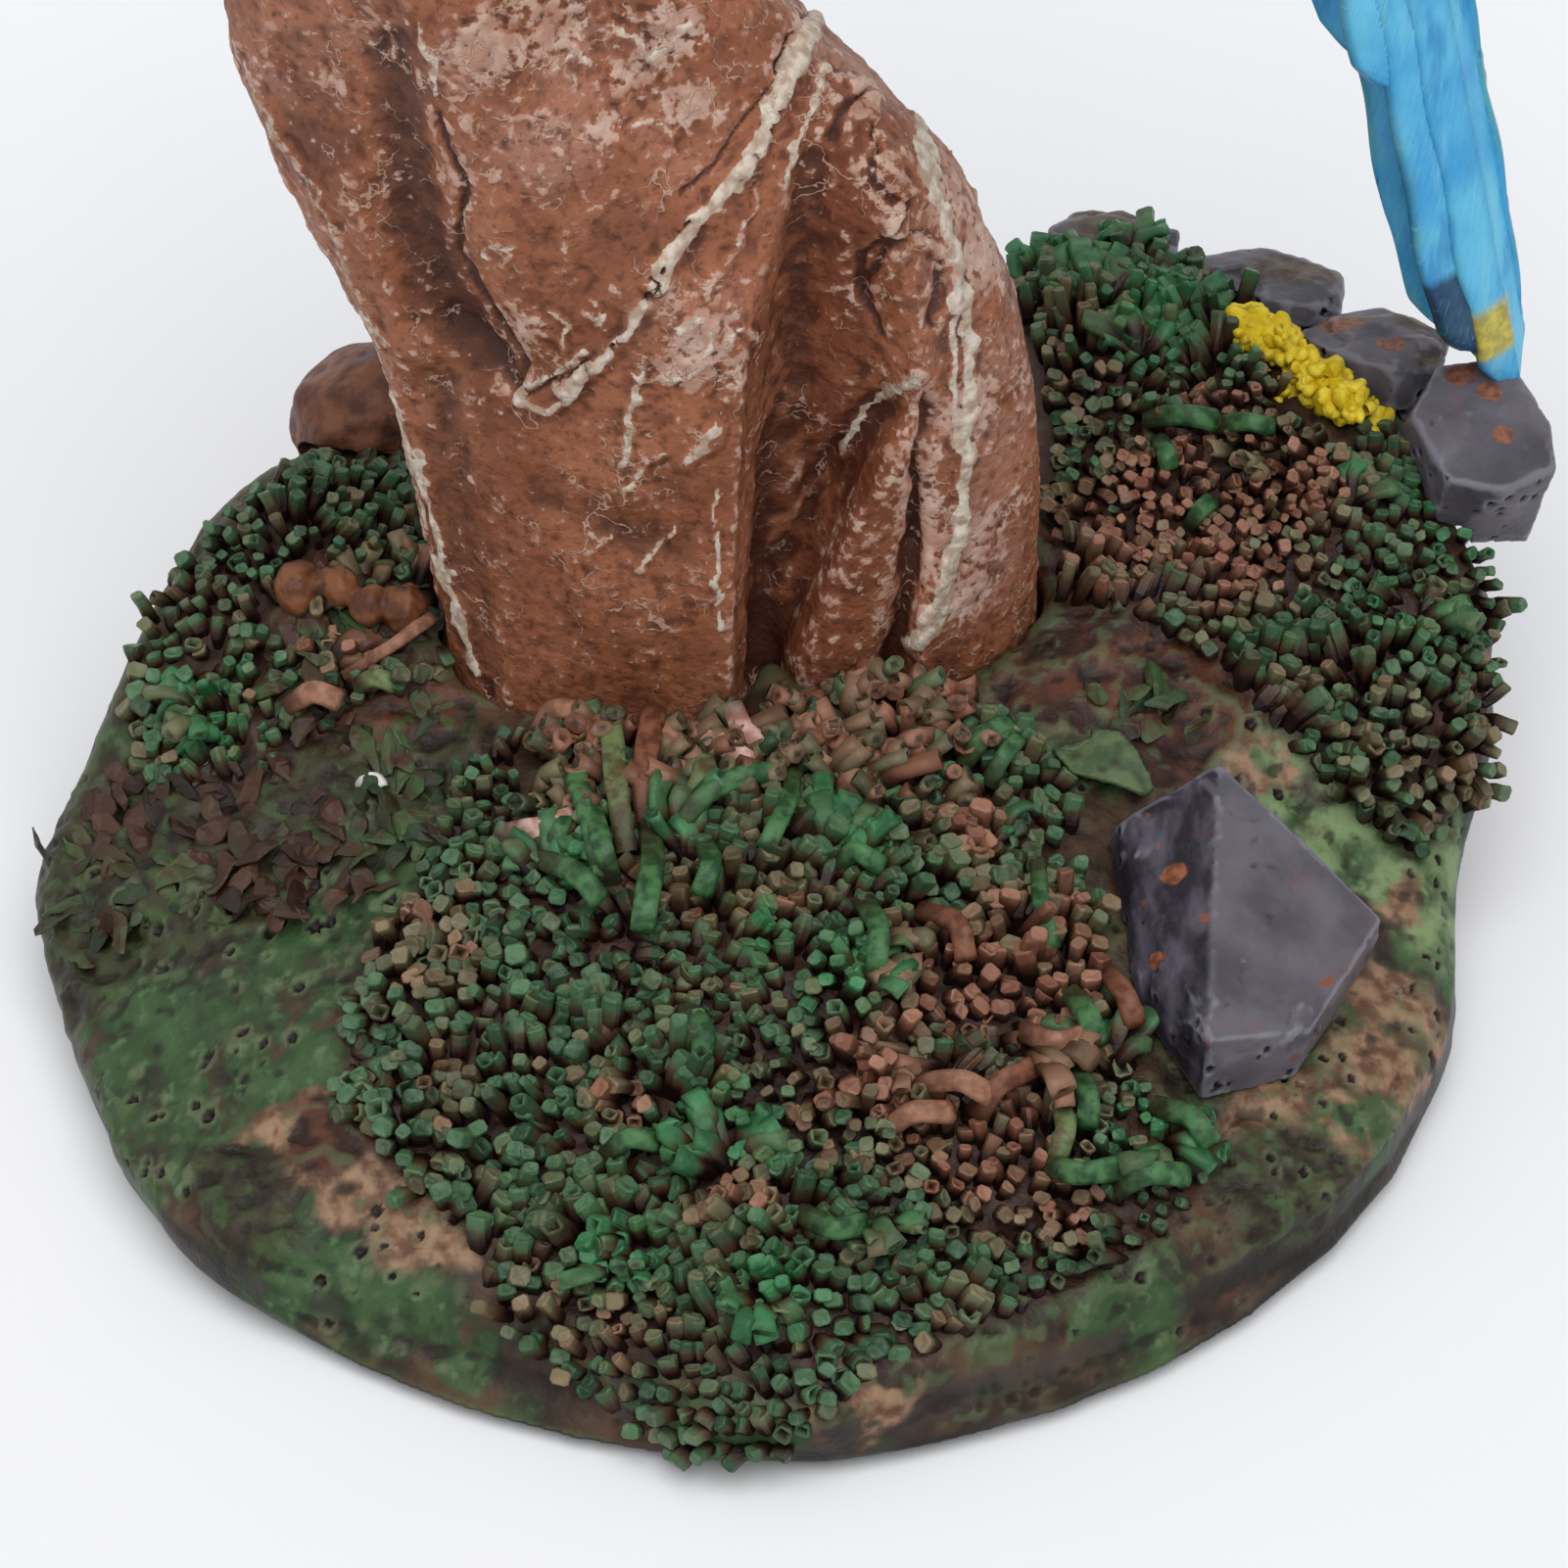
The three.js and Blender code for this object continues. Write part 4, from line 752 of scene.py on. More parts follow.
def bark_paint():
    paint = Paint("bark_paint")
    grain = paint.noise(0.7, 8)
    paint.colour = paint.mottled(11, (134, 80, 54), (170, 108, 78), 0.3, 0.7)
    paint.coat((96, 54, 40), paint.specks(2.6, 6, 0.5, 0.34), 0.5)
    # Darker, redder brown where the shades table lies in the hollow: painted shade
    paint.coat(paint.mottled(3, (92, 46, 30), (128, 70, 48)), "inner", 0.8)
    paint.coat((180, 134, 118), "veil", paint.specks(4, 6, 0.3, 0.7), 0.55)
    # Creases darker: a dark wash together with painted shade
    paint.coat((64, 34, 26), paint.step("relief", 0.0, -0.8), 0.7)
    paint.coat((168, 114, 88), paint.step("relief", 0.1, 0.8), 0.4)
    paint.coat((74, 42, 31), paint.step(grain, 0.45, 0.33), 0.5)
    # Grooves, hollows, cuts and the holes along the vine are painted dark: a wash together with painted shade
    paint.coat((62, 36, 29), "groove")
    high = paint.plus(paint.times(paint.step("relief", 0.15, 0.9), 0.22), paint.times("patch", 0.2))
    high = paint.plus(high, paint.times(paint.specks(5, 5, 0.48, 0.66), 0.07), paint.times("veil", 0.08))
    brushed = paint.step(paint.plus(grain, high), 0.64, 0.78)
    paint.coat(paint.mottled(2, (184, 142, 124), (216, 188, 172)), brushed, 0.75)
    coarse = paint.times(paint.threads(3.4, 0.018, 3), paint.specks(5, 3, 0.5, 0.6))
    fine = paint.times(paint.threads(6, 0.008, 5), paint.specks(3, 2, 0.5, 0.62))
    scratched = paint.math("MAXIMUM", coarse, fine)
    paint.coat((204, 166, 146), scratched, 0.7)
    cream = paint.step(paint.plus("cream", paint.noise(0.9, 4)), 0.95, 1.15)
    paint.coat(paint.mottled(1, (178, 156, 134), (222, 212, 196)), cream, 0.9)
    return paint.finish(0.46, paint.plus(grain, paint.times(scratched, 0.5)), 0.24)


def make_trunk(material):
    skin = refined("trunk", TRUNK_VOXEL, 22)
    skin.push(-0.5 * MM)
    shown = soft(skin.normals() @ np.array(-ahead), -0.1, 0.15)
    places = skin.points.copy()
    spots = pixels_of(places)
    sight = unit(places - np.array(camera_place))
    shaken = spots + np.stack([5 * noise(places, 2 * MM, k) for k in (8, 18)], axis=1)
    bends = [6 * noise(places, 1.4 * MM, k) + 2.5 * noise(places, 0.6 * MM, k + 1) for k in (9, 19)]
    crooked = spots + np.stack(bends, axis=1)

    def lie_on(seen, pixels, width):
        """1 on a line of pixels, falling off over a width in pixels, on what the camera sees."""
        return np.exp(-((line_distance(seen, np.array(pixels, float)) / width) ** 2)) * shown

    for pixels, width, height in TRUNK_SWELLS:
        skin.points -= (height * MM * lie_on(spots, pixels, width))[:, None] * sight
    # The dark paint of hollows and cuts, a wash together with painted shade, is gathered below
    groove, cream, inner = (np.zeros(len(places)) for _ in range(3))
    for pixels, width, depth, strength in TRUNK_HOLLOWS + [(*cut, 0.85) for cut in TRUNK_CUTS]:
        lie = lie_on(shaken, pixels, width * PIXELS_PER_MM)
        skin.push(-depth * MM * lie)
        groove = np.maximum(groove, soft(lie, 0.2, 0.9) * strength)
    bark_relief(skin, 21)
    for pixels, width, height, strength in TRUNK_RIDGES:
        lie = lie_on(crooked, pixels, width * PIXELS_PER_MM)
        skin.push(height * MM * lie)
        cream = np.maximum(cream, strength * soft(lie, 0.2, 0.8))
        groove *= 1 - soft(lie, 0.3, 0.9)
    holes, _, luck = cells(skin.points, 1.5 * MM, 4)
    along_vine = lie_on(spots, VINE[1:8], 0.6 * PIXELS_PER_MM)
    pits = soft(along_vine, 0.2, 0.5) * (luck > 0.3) * (1 - soft(holes, 0.2, 0.32))
    skin.push(-0.8 * MM * pits)
    patch = shown * spots_near(skin.points, trunk_tree, TRUNK_PATCHES)
    skin.push(0.2 * MM * (0.35 + 0.65 * patch) * np.abs(rough(skin.points, 1.3 * MM, 3, 61)) * 3)
    furrows = 1 - np.abs(rough(skin.points * np.array([1, 1, 0.18]), 5.5 * MM, 3, 77)) * 2.6
    skin.push((1 - shown) * 0.9 * MM * (furrows - 0.5))
    veil = shown * spots_near(skin.points, trunk_tree, TRUNK_VEILS)
    crusted = np.maximum(soft(rough(skin.points, 9 * MM, 3, 70), 0.2, 0.45), soft(furrows, 0.7, 0.95) * 0.6)
    misty = 0.6 * (1 - shown) * soft(noise(skin.points, 22 * MM, 90), -0.2, 0.5)
    # The shades are painted shade in the hollow
    for pixels, width in TRUNK_SHADES:
        inner = np.maximum(inner, lie_on(spots, pixels, width))
    elsewhere = (1 - shown) * crusted
    skin.paint.update(relief=skin.relief(7, 0.14 * MM), patch=np.maximum(patch, 0.8 * elsewhere))
    skin.paint.update(groove=np.maximum(groove, pits), cream=cream * (1 - pits))
    skin.paint.update(inner=inner, veil=np.maximum(veil, misty))
    skin.piece("gnarled_trunk", material, ["trunk"], "bark_resin")


def make_limb(material):
    skin = refined("perch_limb", 0.4 * MM, 10)
    bark_relief(skin, 44)
    skin.push(0.1 * MM)
    skin.paint["relief"] = skin.relief(8, 0.2 * MM)
    skin.paint["patch"] = soft(rough(skin.points, 7 * MM, 3, 70), 0.2, 0.5)
    skin.paint["veil"] = 0.5 * soft(noise(skin.points, 15 * MM, 90), -0.2, 0.5)
    for key in ("groove", "cream", "inner"):
        skin.paint[key] = np.zeros(len(skin.points))
    skin.piece("gnarled_limb", material, ["perch_limb"], "bark_resin")


# Moss: short square strands, whose clumps lean their own way. Each spot is a column, a row and a reach in
# millimetres, and each margin is an outline in pixels where strands also stand on the mound's side

STRAND_PITCHES = {
    "front_moss": 1.21 * MM, "left_moss": 1.19 * MM, "right_moss": 1.1 * MM, "rear_moss": 1.4 * MM,
}
STRAND_RINGS = np.array([0, 0.4, 0.75, 0.96, 1.0])
STRAND_GIRTHS = np.array([0.85, 1.0, 1.04, 1.04, 0.88])
MOSS_BROWN_SPOTS = [
    (1010, 1180, 9), (960, 1000, 7), (1120, 560, 10), (1250, 560, 10), (350, 640, 6), (980, 850, 5),
    (1050, 980, 8), (1200, 500, 9), (1330, 500, 7), (760, 1230, 4), (640, 1130, 3), (900, 1090, 5),
    (1260, 440, 6), (1080, 1230, 5), (720, 760, 5), (600, 760, 5),
]
MOSS_EMERALD_SPOTS = [
    (1170, 340, 7), (215, 740, 6), (745, 1160, 5.5), (640, 1290, 4), (870, 1010, 4), (1480, 530, 5),
    (600, 900, 4), (870, 860, 3.5), (800, 1330, 4), (1190, 1160, 5), (760, 960, 4), (1440, 640, 4),
]
MOSS_MARGINS = {
    "front_moss": [
        (480, 1290), (545, 1390), (640, 1455), (700, 1490), (790, 1492), (850, 1440), (900, 1400),
        (700, 1330),
    ],
    "right_moss": [(1440, 620), (1500, 560), (1545, 600), (1558, 680), (1545, 760), (1510, 840), (1460, 800)],
    "left_moss": [(120, 800), (128, 700), (135, 640), (160, 590), (210, 560), (220, 700), (190, 800)],
}
MARGIN_PIXELS = 19


def moss_paint():
    paint = Paint("moss_paint")
    paint.colour = paint.mottled(3, (74, 44, 33), (118, 76, 58))
    tan = paint.mix("luck", (120, 76, 58), (178, 130, 108))
    paint.coat(tan, paint.step("tip", 0.5, 0.95), 0.8)
    green = paint.mix("luck", (36, 60, 39), (78, 112, 78))
    green = paint.mix("emerald", green, paint.mottled(2, (30, 84, 48), (66, 130, 82)))
    edge = paint.plus("tip", paint.times(paint.noise(0.8, 4), 0.4))
    paint.coat(green, paint.step(edge, 0.45, 0.85), "green")
    # A pale green at the very tips: painted highlight
    paint.coat((120, 156, 124), paint.step(edge, 1.12, 1.3), "green", 0.3)
    # Near black towards each strand's foot: painted shade between the strands
    paint.coat((20, 11, 8), paint.step("tip", 0.66, 0.2), 0.97)
    # The hollowed ends are painted dark: painted shade inside them
    paint.coat((22, 18, 12), paint.step("hole", 0.1, 0.8), 0.75)
    return paint.finish(0.34, paint.noise(0.35, 4), 0.06)


def paint_strands(skin, green, luck, emerald):
    per = len(skin.points) // len(green)
    skin.paint["green"] = np.repeat(green, per)
    skin.paint["luck"] = np.repeat(luck, per)
    skin.paint["emerald"] = np.repeat(emerald, per)


def margin_places(outline):
    """Places on the mound's side inside an outline of pixels."""
    corners = np.array(outline, float)
    (left, top), (right, bottom) = corners.min(axis=0), corners.max(axis=0)
    found = []
    for row in np.arange(top, bottom, MARGIN_PIXELS):
        for column in np.arange(left, right, MARGIN_PIXELS):
            crossings = 0
            for (ax, ay), (bx, by) in zip(corners, np.roll(corners, -1, axis=0)):
                crossings += (ay > row) != (by > row) and column < ax + (row - ay) * (bx - ax) / (by - ay)
            if crossings % 2:
                place, normal = from_camera(ground_tree, (column, row))
                if place is not None:
                    found.append((*place, *normal))
    return found


def make_moss(node, material, seed):
    """Replaces a CAD moss patch with strands that stand on the ground under it."""
    low, high = (np.array(corner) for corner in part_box(node))
    luck = np.random.default_rng(seed)
    pitch = STRAND_PITCHES[node]
    rows, columns = (np.arange(low[k] - MM, high[k] + MM, pitch) for k in (1, 0))
    x, y = (grid.ravel() for grid in np.meshgrid(columns, rows))
    place = np.stack([x, y, np.zeros_like(x)], axis=1)
    x = x + 1.2 * MM * noise(place, 8 * MM, seed) + luck.normal(0, 0.22 * MM, len(x))
    y = y + 1.2 * MM * noise(place, 8 * MM, seed + 1) + luck.normal(0, 0.22 * MM, len(x))
    tree = tree_of(node)
    found = []
    for px, py in zip(x, y):
        hit, _ = from_above(tree, px, py)
        spot, normal = from_above(ground_tree, px, py)
        if hit is not None and spot is not None:
            found.append((*spot, *normal))
    inner = np.array(found)
    for extra in margin_places(MOSS_MARGINS.get(node, [(0, 0)])):
        if np.linalg.norm(inner[:, :3] - np.array(extra[:3]), axis=1).min() > 0.75 * pitch:
            found.append(extra)
    base, normal = np.hsplit(np.array(found), 2)
    count = len(base)
    drift = np.stack([noise(base, 5 * MM, seed + k) for k in (2, 3, 4)], axis=1)
    outward = unit(base * np.array([1, 1, 0]))
    steep = soft(normal[:, 2], 0.75, 0.4)[:, None]
    drawn = luck.normal(0, 0.26, (count, 3))
    way = unit(normal + np.array([0, 0, 0.5]) - 0.1 * outward * steep + 0.7 * drift + drawn)
    spin = luck.normal(0, 0.45, count) + 0.8 * noise(base, 13 * MM, seed + 6)
    side = square_to(compass(spin), way)
    width = pitch * (0.96 + 0.25 * noise(base, 10 * MM, seed + 7)) * luck.uniform(0.8, 1.22, count)
    tall = soft(rough(base, 6 * MM, 2, seed + 11), -0.2, 0.5)
    length = (1.7 + 1.5 * tall) * MM * luck.uniform(0.7, 1.3, count)
    bend = length[:, None] * (0.35 * drift + luck.normal(0, 0.14, (count, 3)))
    foot = base - 0.4 * MM * normal
    rings = STRAND_RINGS[:, None]
    middle = foot[:, None] + length[:, None, None] * rings * way[:, None] + bend[:, None] * rings**2
    thin = luck.uniform(0.75, 1.0, count)[:, None, None, None]
    hollow = luck.uniform(0, 1, count) > 0.88
    dish = np.where(hollow, 0.7, 0.1)[:, None]
    skin = sweeps(middle, side, width[:, None] * STRAND_GIRTHS, thin, dish)
    skin.paint["hole"] *= np.repeat(np.where(hollow, 1.0, 0.15), len(skin.points) // count)
    skin.wobble(0.15 * MM, 0.9 * MM, seed + 20)
    bare = 0.9 * spots_near(base, ground_tree, MOSS_BROWN_SPOTS)
    bare = bare + 0.45 * soft(rough(base, 8 * MM, 2, seed + 9), 0.1, 0.5)
    green = np.clip(1.02 - bare + luck.normal(0, 0.22, count), 0, 1)
    emerald = spots_near(base, ground_tree, MOSS_EMERALD_SPOTS)
    paint_strands(skin, green, luck.uniform(0, 1, count), emerald)
    skin.piece(node + "_strands", material, [node], "moss_resin", smooth=False)


LITTER_OUTLINES = [
    [(45, 890), (105, 800), (190, 770), (330, 760), (440, 770), (470, 850), (380, 910), (300, 940),
     (190, 940), (80, 985)],
    [(290, 600), (430, 600), (440, 770), (330, 760), (280, 700)],
    [(1100, 700), (1180, 690), (1230, 740), (1120, 760)],
]
LITTER_GIRTHS = np.array([0.3, 0.85, 1, 0.9, 0.6, 0.2])


def make_litter():
    """Small withered leaves that lie on the ground."""
    luck = np.random.default_rng(41)
    found = np.array([spot for outline in LITTER_OUTLINES for spot in margin_places(outline)])
    base, normal = np.hsplit(found, 2)
    count = len(base)
    base = base + luck.normal(0, 0.7 * MM, (count, 3)) * np.array([1, 1, 0])
    out = square_to(compass(luck.uniform(0, math.tau, count)), normal)
    share = np.linspace(0, 1, len(LITTER_GIRTHS))[:, None]
    length = (luck.uniform(1.8, 4.4, count) * MM)[:, None, None]
    rise = luck.uniform(0.05, 0.5, count)[:, None, None]
    along = out[:, None] * (share - 0.4) + normal[:, None] * (0.04 + rise * share * (1.2 - share))
    middle = base[:, None] + length * along
    side = unit(np.cross(normal, out) + luck.normal(0, 0.3, (count, 3)))
    girth = luck.uniform(1.0, 2.3, count)[:, None] * MM * LITTER_GIRTHS
    skin = sweeps(middle, side, girth, 0.24, 0.0, ROUND_SECTION)
    skin.wobble(0.5 * MM, 1.2 * MM, 60)
    green = np.clip(soft(rough(base, 7 * MM, 2, 63), -0.3, 0.15) + luck.normal(0, 0.2, count), 0, 1)
    paint_strands(skin, green, luck.uniform(0, 1, count), np.zeros(count))
    paint = Paint("litter_paint")
    paint.colour = paint.mix("luck", (36, 21, 16), (76, 50, 37))
    leafy = paint.mix("luck", (30, 44, 27), (66, 92, 54))
    paint.coat(leafy, "green", paint.specks(2, 4, 0.3, 0.6))
    material = paint.finish(0.4, paint.noise(0.5, 5), 0.08)
    skin.piece("leaf_litter", material, slot="moss_resin", smooth=False)


LICHEN_LINE = [(1262, 340), (1292, 348), (1318, 372), (1345, 398), (1382, 410), (1408, 432)]
CRUMB_COUNT = 110
CRUMB_SCATTER_PIXELS = 11


def make_lichen_crumbs():
    """Small yellow crumbs on and beside the lichen."""
    luck = np.random.default_rng(47)
    tree = tree_of("base_mound", "yellow_lichen")
    line = np.array(LICHEN_LINE, float)
    found = []
    for share in luck.uniform(0, len(line) - 1, CRUMB_COUNT):
        column, row = (np.interp(share, range(len(line)), line[:, k]) for k in (0, 1))
        at = (column + luck.normal(0, CRUMB_SCATTER_PIXELS), row + luck.normal(0, CRUMB_SCATTER_PIXELS))
        place, normal = from_camera(tree, at)
        if place is not None:
            found.append((*place, *normal))
    base, normal = np.hsplit(np.array(found), 2)
    count = len(base)
    way = unit(normal + luck.normal(0, 0.5, (count, 3)))
    share = np.linspace(-0.3, 1, 4)[:, None]
    middle = base[:, None] + (luck.uniform(0.5, 1.3, count) * MM)[:, None, None] * share * way[:, None]
    girth = luck.uniform(0.7, 1.5, count)[:, None] * MM * np.array([1, 1, 0.9, 0.55])
    side = unit(np.cross(way, luck.normal(0, 1, (count, 3))))
    skin = sweeps(middle, side, girth, 0.8, -0.1, ROUND_SECTION)
    skin.wobble(0.15 * MM, 0.8 * MM, 70)
    paint = Paint("crumb_paint")
    paint.colour = paint.mottled(1, (206, 176, 22), (246, 222, 70))
    material = paint.finish(0.45, paint.noise(0.4, 4), 0.06)
    skin.piece("lichen_crumbs", material, slot="lichen_resin")


# Clumps of thick strands on the moss: a pixel, a direction and spread in degrees, a count, a length and width
# in millimetres, how far they lie over, and how green they are

CLUMPS = [
    ((700, 880), 110, 120, 6, 5.0, 1.9, 0.5, 1.0), ((850, 885), 60, 110, 7, 4.6, 1.8, 0.6, 1.0),
    ((745, 1195), 110, 200, 13, 5.2, 1.9, 0.6, 1.0), ((880, 985), 330, 90, 9, 4.6, 1.6, 0.8, 0.5),
    ((1050, 1080), 320, 70, 7, 5.0, 1.8, 0.85, 0.1), ((1130, 1100), 100, 150, 7, 5.0, 1.8, 0.7, 0.9),
    ((1190, 1170), 300, 160, 8, 4.6, 1.8, 0.75, 0.9), ((960, 1090), 200, 60, 6, 4.2, 1.7, 0.85, 0.1),
    ((790, 1330), 250, 160, 9, 4.2, 1.6, 0.7, 1.0), ((560, 910), 120, 100, 6, 4.2, 1.7, 0.6, 1.0),
    ((1165, 370), 110, 170, 14, 4.6, 1.7, 0.7, 1.0), ((1130, 310), 130, 140, 10, 4.2, 1.6, 0.7, 1.0),
    ((215, 740), 210, 180, 12, 4.2, 1.7, 0.7, 1.0), ((1000, 880), 80, 100, 6, 3.8, 1.4, 0.6, 0.9),
    ((1380, 520), 60, 120, 7, 3.8, 1.6, 0.7, 0.8), ((900, 1250), 280, 120, 7, 3.8, 1.6, 0.7, 0.8),
    ((640, 1290), 240, 130, 7, 3.6, 1.5, 0.7, 0.9), ((1450, 640), 20, 110, 7, 3.6, 1.6, 0.7, 0.9),
    ((1062, 296), 90, 180, 12, 2.9, 1.7, 0.5, 1.0), ((1100, 284), 90, 180, 10, 2.6, 1.6, 0.6, 1.0),
    ((300, 632), 60, 160, 6, 3.2, 1.5, 0.7, 0.6), ((376, 612), 90, 120, 6, 3.0, 1.5, 0.6, 0.4),
    ((425, 600), 60, 120, 5, 3.0, 1.5, 0.6, 0.3),
    ((1150, 270), 60, 180, 9, 3.8, 1.7, 0.6, 1.0), ((1050, 330), 60, 180, 8, 3.8, 1.7, 0.6, 0.4),
    ((330, 690), 30, 100, 6, 4.2, 1.6, 0.8, 0.1), ((870, 1020), 20, 140, 8, 4.0, 1.6, 0.6, 1.0),
    ((1210, 330), 80, 140, 9, 3.8, 1.5, 0.7, 1.0), ((1290, 470), 250, 120, 7, 3.6, 1.5, 0.7, 0.3),
]
CLUMP_RINGS = 7


def make_clumps(material):
    luck = np.random.default_rng(17)
    skins, greens, lucks = [], [], []
    for pixel, degrees, spread, count, length, width, over, green in CLUMPS:
        start = seen_at(land_tree, pixel)
        if start is None:
            continue
        out = compass(np.radians(degrees + luck.uniform(-spread / 2, spread / 2, count)))
        share = np.linspace(0, 1, CLUMP_RINGS)[:, None]
        reach = (length * MM * luck.uniform(0.6, 1.15, count))[:, None, None]
        roots = start + MM * out * luck.uniform(0, 2.2, (count, 1)) + np.array([0, 0, 0.3 * MM])
        rise = (1 - over * luck.uniform(0.6, 1.1, (count, 1, 1)) * share) * share
        lift = np.array([0, 0, 1.15]) * rise
        middle = roots[:, None] + reach * (out[:, None] * share * (0.45 + 0.5 * over) + lift)
        middle = middle + 0.5 * MM * share * luck.normal(0, 1, (count, 1, 3)) * np.sin(4 * share)
        side = unit(np.cross(out, [0, 0, 1.0]) + luck.normal(0, 0.3, (count, 3)))
        girth = width * MM * luck.uniform(0.75, 1.15, (count, 1)) * (0.75 + 0.3 * share[:, 0])
        flat = luck.uniform(0.4, 0.85, count)[:, None, None, None]
        skins.append(sweeps(middle, side, girth, flat, luck.uniform(0, 0.7, count)[:, None]))
        greens.append(np.clip(green + luck.normal(0, 0.15, count), 0, 1))
        lucks.append(luck.uniform(0.4, 1, count))
    skin = joined(skins)
    skin.wobble(0.16 * MM, 1.1 * MM, 30)
    greens = np.concatenate(greens)
    paint_strands(skin, greens, np.concatenate(lucks), 0.8 * greens)
    skin.piece("moss_clumps", material, slot="moss_resin")


# Single tubes and twigs: pixels along each, how far its middle stands up and its width, both in millimetres

TUBES = {
    "tan": [
        ([(548, 752), (560, 724), (590, 722), (606, 756)], 2.2, 1.7),
        ([(838, 766), (846, 752), (868, 748)], 2.4, 1.6), ([(352, 690), (400, 660), (440, 630)], 2.2, 1.1),
        ([(296, 722), (320, 704), (346, 716)], 2.4, 1.8),
        ([(930, 1110), (980, 1100), (1012, 1120)], 3.4, 1.8),
        ([(1046, 1054), (1080, 1066), (1110, 1056)], 3.2, 1.8),
        ([(900, 1160), (930, 1134), (970, 1136)], 3.0, 1.7),
    ],
    "brown": [
        ([(604, 800), (608, 756), (622, 730)], 2.6, 1.7), ([(660, 840), (656, 790), (668, 726)], 3.2, 1.9),
        ([(560, 772), (556, 752), (576, 744)], 1.8, 1.4), ([(820, 770), (830, 752), (842, 750)], 2.6, 1.7),
        ([(1000, 1140), (1020, 1104), (1056, 1090)], 3.4, 1.7),
        ([(1126, 990), (1150, 1014), (1158, 1044)], 3.4, 1.7),
        ([(940, 930), (980, 940), (986, 980)], 3.0, 1.7),
    ],
    "pink": [
        ([(702, 744), (728, 754), (768, 780)], 2.2, 1.7), ([(748, 720), (756, 742), (778, 762)], 2.4, 1.8),
        ([(520, 850), (552, 846), (584, 836)], 2.4, 1.9),
    ],
    "green": [
        ([(616, 902), (606, 850), (586, 786)], 3.6, 1.7), ([(626, 900), (616, 866), (606, 828)], 4.2, 1.6),
        ([(556, 872), (570, 850), (584, 822)], 2.6, 1.4), ([(552, 878), (590, 890), (612, 920)], 3.4, 1.8),
        ([(690, 850), (716, 812), (762, 788), (800, 790)], 4.0, 1.7),
        ([(812, 784), (806, 820), (780, 868)], 3.6, 1.5),
        ([(664, 852), (668, 880), (660, 920), (656, 950)], 3.6, 1.9),
        ([(718, 860), (728, 880), (716, 912)], 3.4, 1.7), ([(985, 780), (1005, 750), (1030, 738)], 3.0, 1.6),
        ([(1010, 800), (1024, 772), (1040, 754)], 3.0, 1.4), ([(860, 880), (872, 866), (900, 884)], 3.4, 1.6),
        ([(1060, 880), (1062, 920), (1074, 968)], 2.8, 1.4),
        ([(1172, 428), (1206, 422), (1240, 430)], 3.0, 1.8),
        ([(1244, 434), (1270, 430), (1298, 436)], 3.0, 1.6),
        ([(1182, 450), (1190, 460), (1194, 476)], 2.6, 1.6),
        ([(1216, 536), (1226, 520), (1236, 512)], 2.6, 1.4),
        ([(1350, 352), (1362, 358), (1376, 366)], 2.6, 1.8),
        ([(1404, 374), (1420, 380), (1436, 386)], 2.6, 1.7),
        ([(1092, 1014), (1112, 1036), (1118, 1066)], 3.4, 1.8),
        ([(1066, 1186), (1100, 1200), (1150, 1190)], 3.2, 1.8),
        ([(1180, 1130), (1220, 1140), (1236, 1170)], 3.4, 1.8),
        ([(1100, 1090), (1112, 1120), (1110, 1150)], 3.4, 1.7),
        ([(880, 920), (900, 948), (894, 990)], 3.6, 1.7), ([(700, 1030), (720, 1050), (716, 1080)], 3.2, 1.7),
        ([(620, 1180), (640, 1160), (670, 1166)], 3.0, 1.6),
        ([(820, 1240), (850, 1256), (880, 1250)], 3.2, 1.7),
        ([(1140, 1216), (1170, 1196), (1210, 1200)], 3.4, 1.8),
    ],
    "rust": [
        ([(1330, 330), (1372, 348), (1420, 352)], 1.6, 1.0),
        ([(1344, 366), (1366, 354), (1388, 366)], 2.0, 1.2),
        ([(1380, 384), (1400, 396), (1420, 392)], 1.8, 1.1),
        ([(1440, 420), (1450, 400), (1466, 396)], 1.6, 1.2),
    ],
    "white": [([(366, 806), (372, 794), (386, 792), (390, 804)], 0.8, 0.9)],
    "olive": [
        ([(640, 870), (630, 806), (624, 736)], 3.4, 1.8), ([(700, 820), (720, 796), (716, 776)], 2.6, 2.0),
        ([(900, 770), (930, 756), (962, 750)], 2.4, 1.4), ([(366, 700), (384, 690), (404, 700)], 2.2, 1.5),
        ([(1080, 1120), (1090, 1150), (1080, 1180)], 3.2, 1.6),
    ],
}
TUBE_COLOURS = {
    "tan": ((124, 84, 64), (166, 120, 96)), "brown": ((88, 52, 38), (132, 86, 64)),
    "pink": ((164, 116, 100), (216, 184, 172)), "green": ((34, 68, 40), (74, 116, 72)),
    "rust": ((96, 50, 28), (150, 86, 46)), "white": ((214, 214, 208), (240, 240, 236)),
    "olive": ((84, 78, 54), (110, 128, 84)),
}
TUBE_RINGS = 12


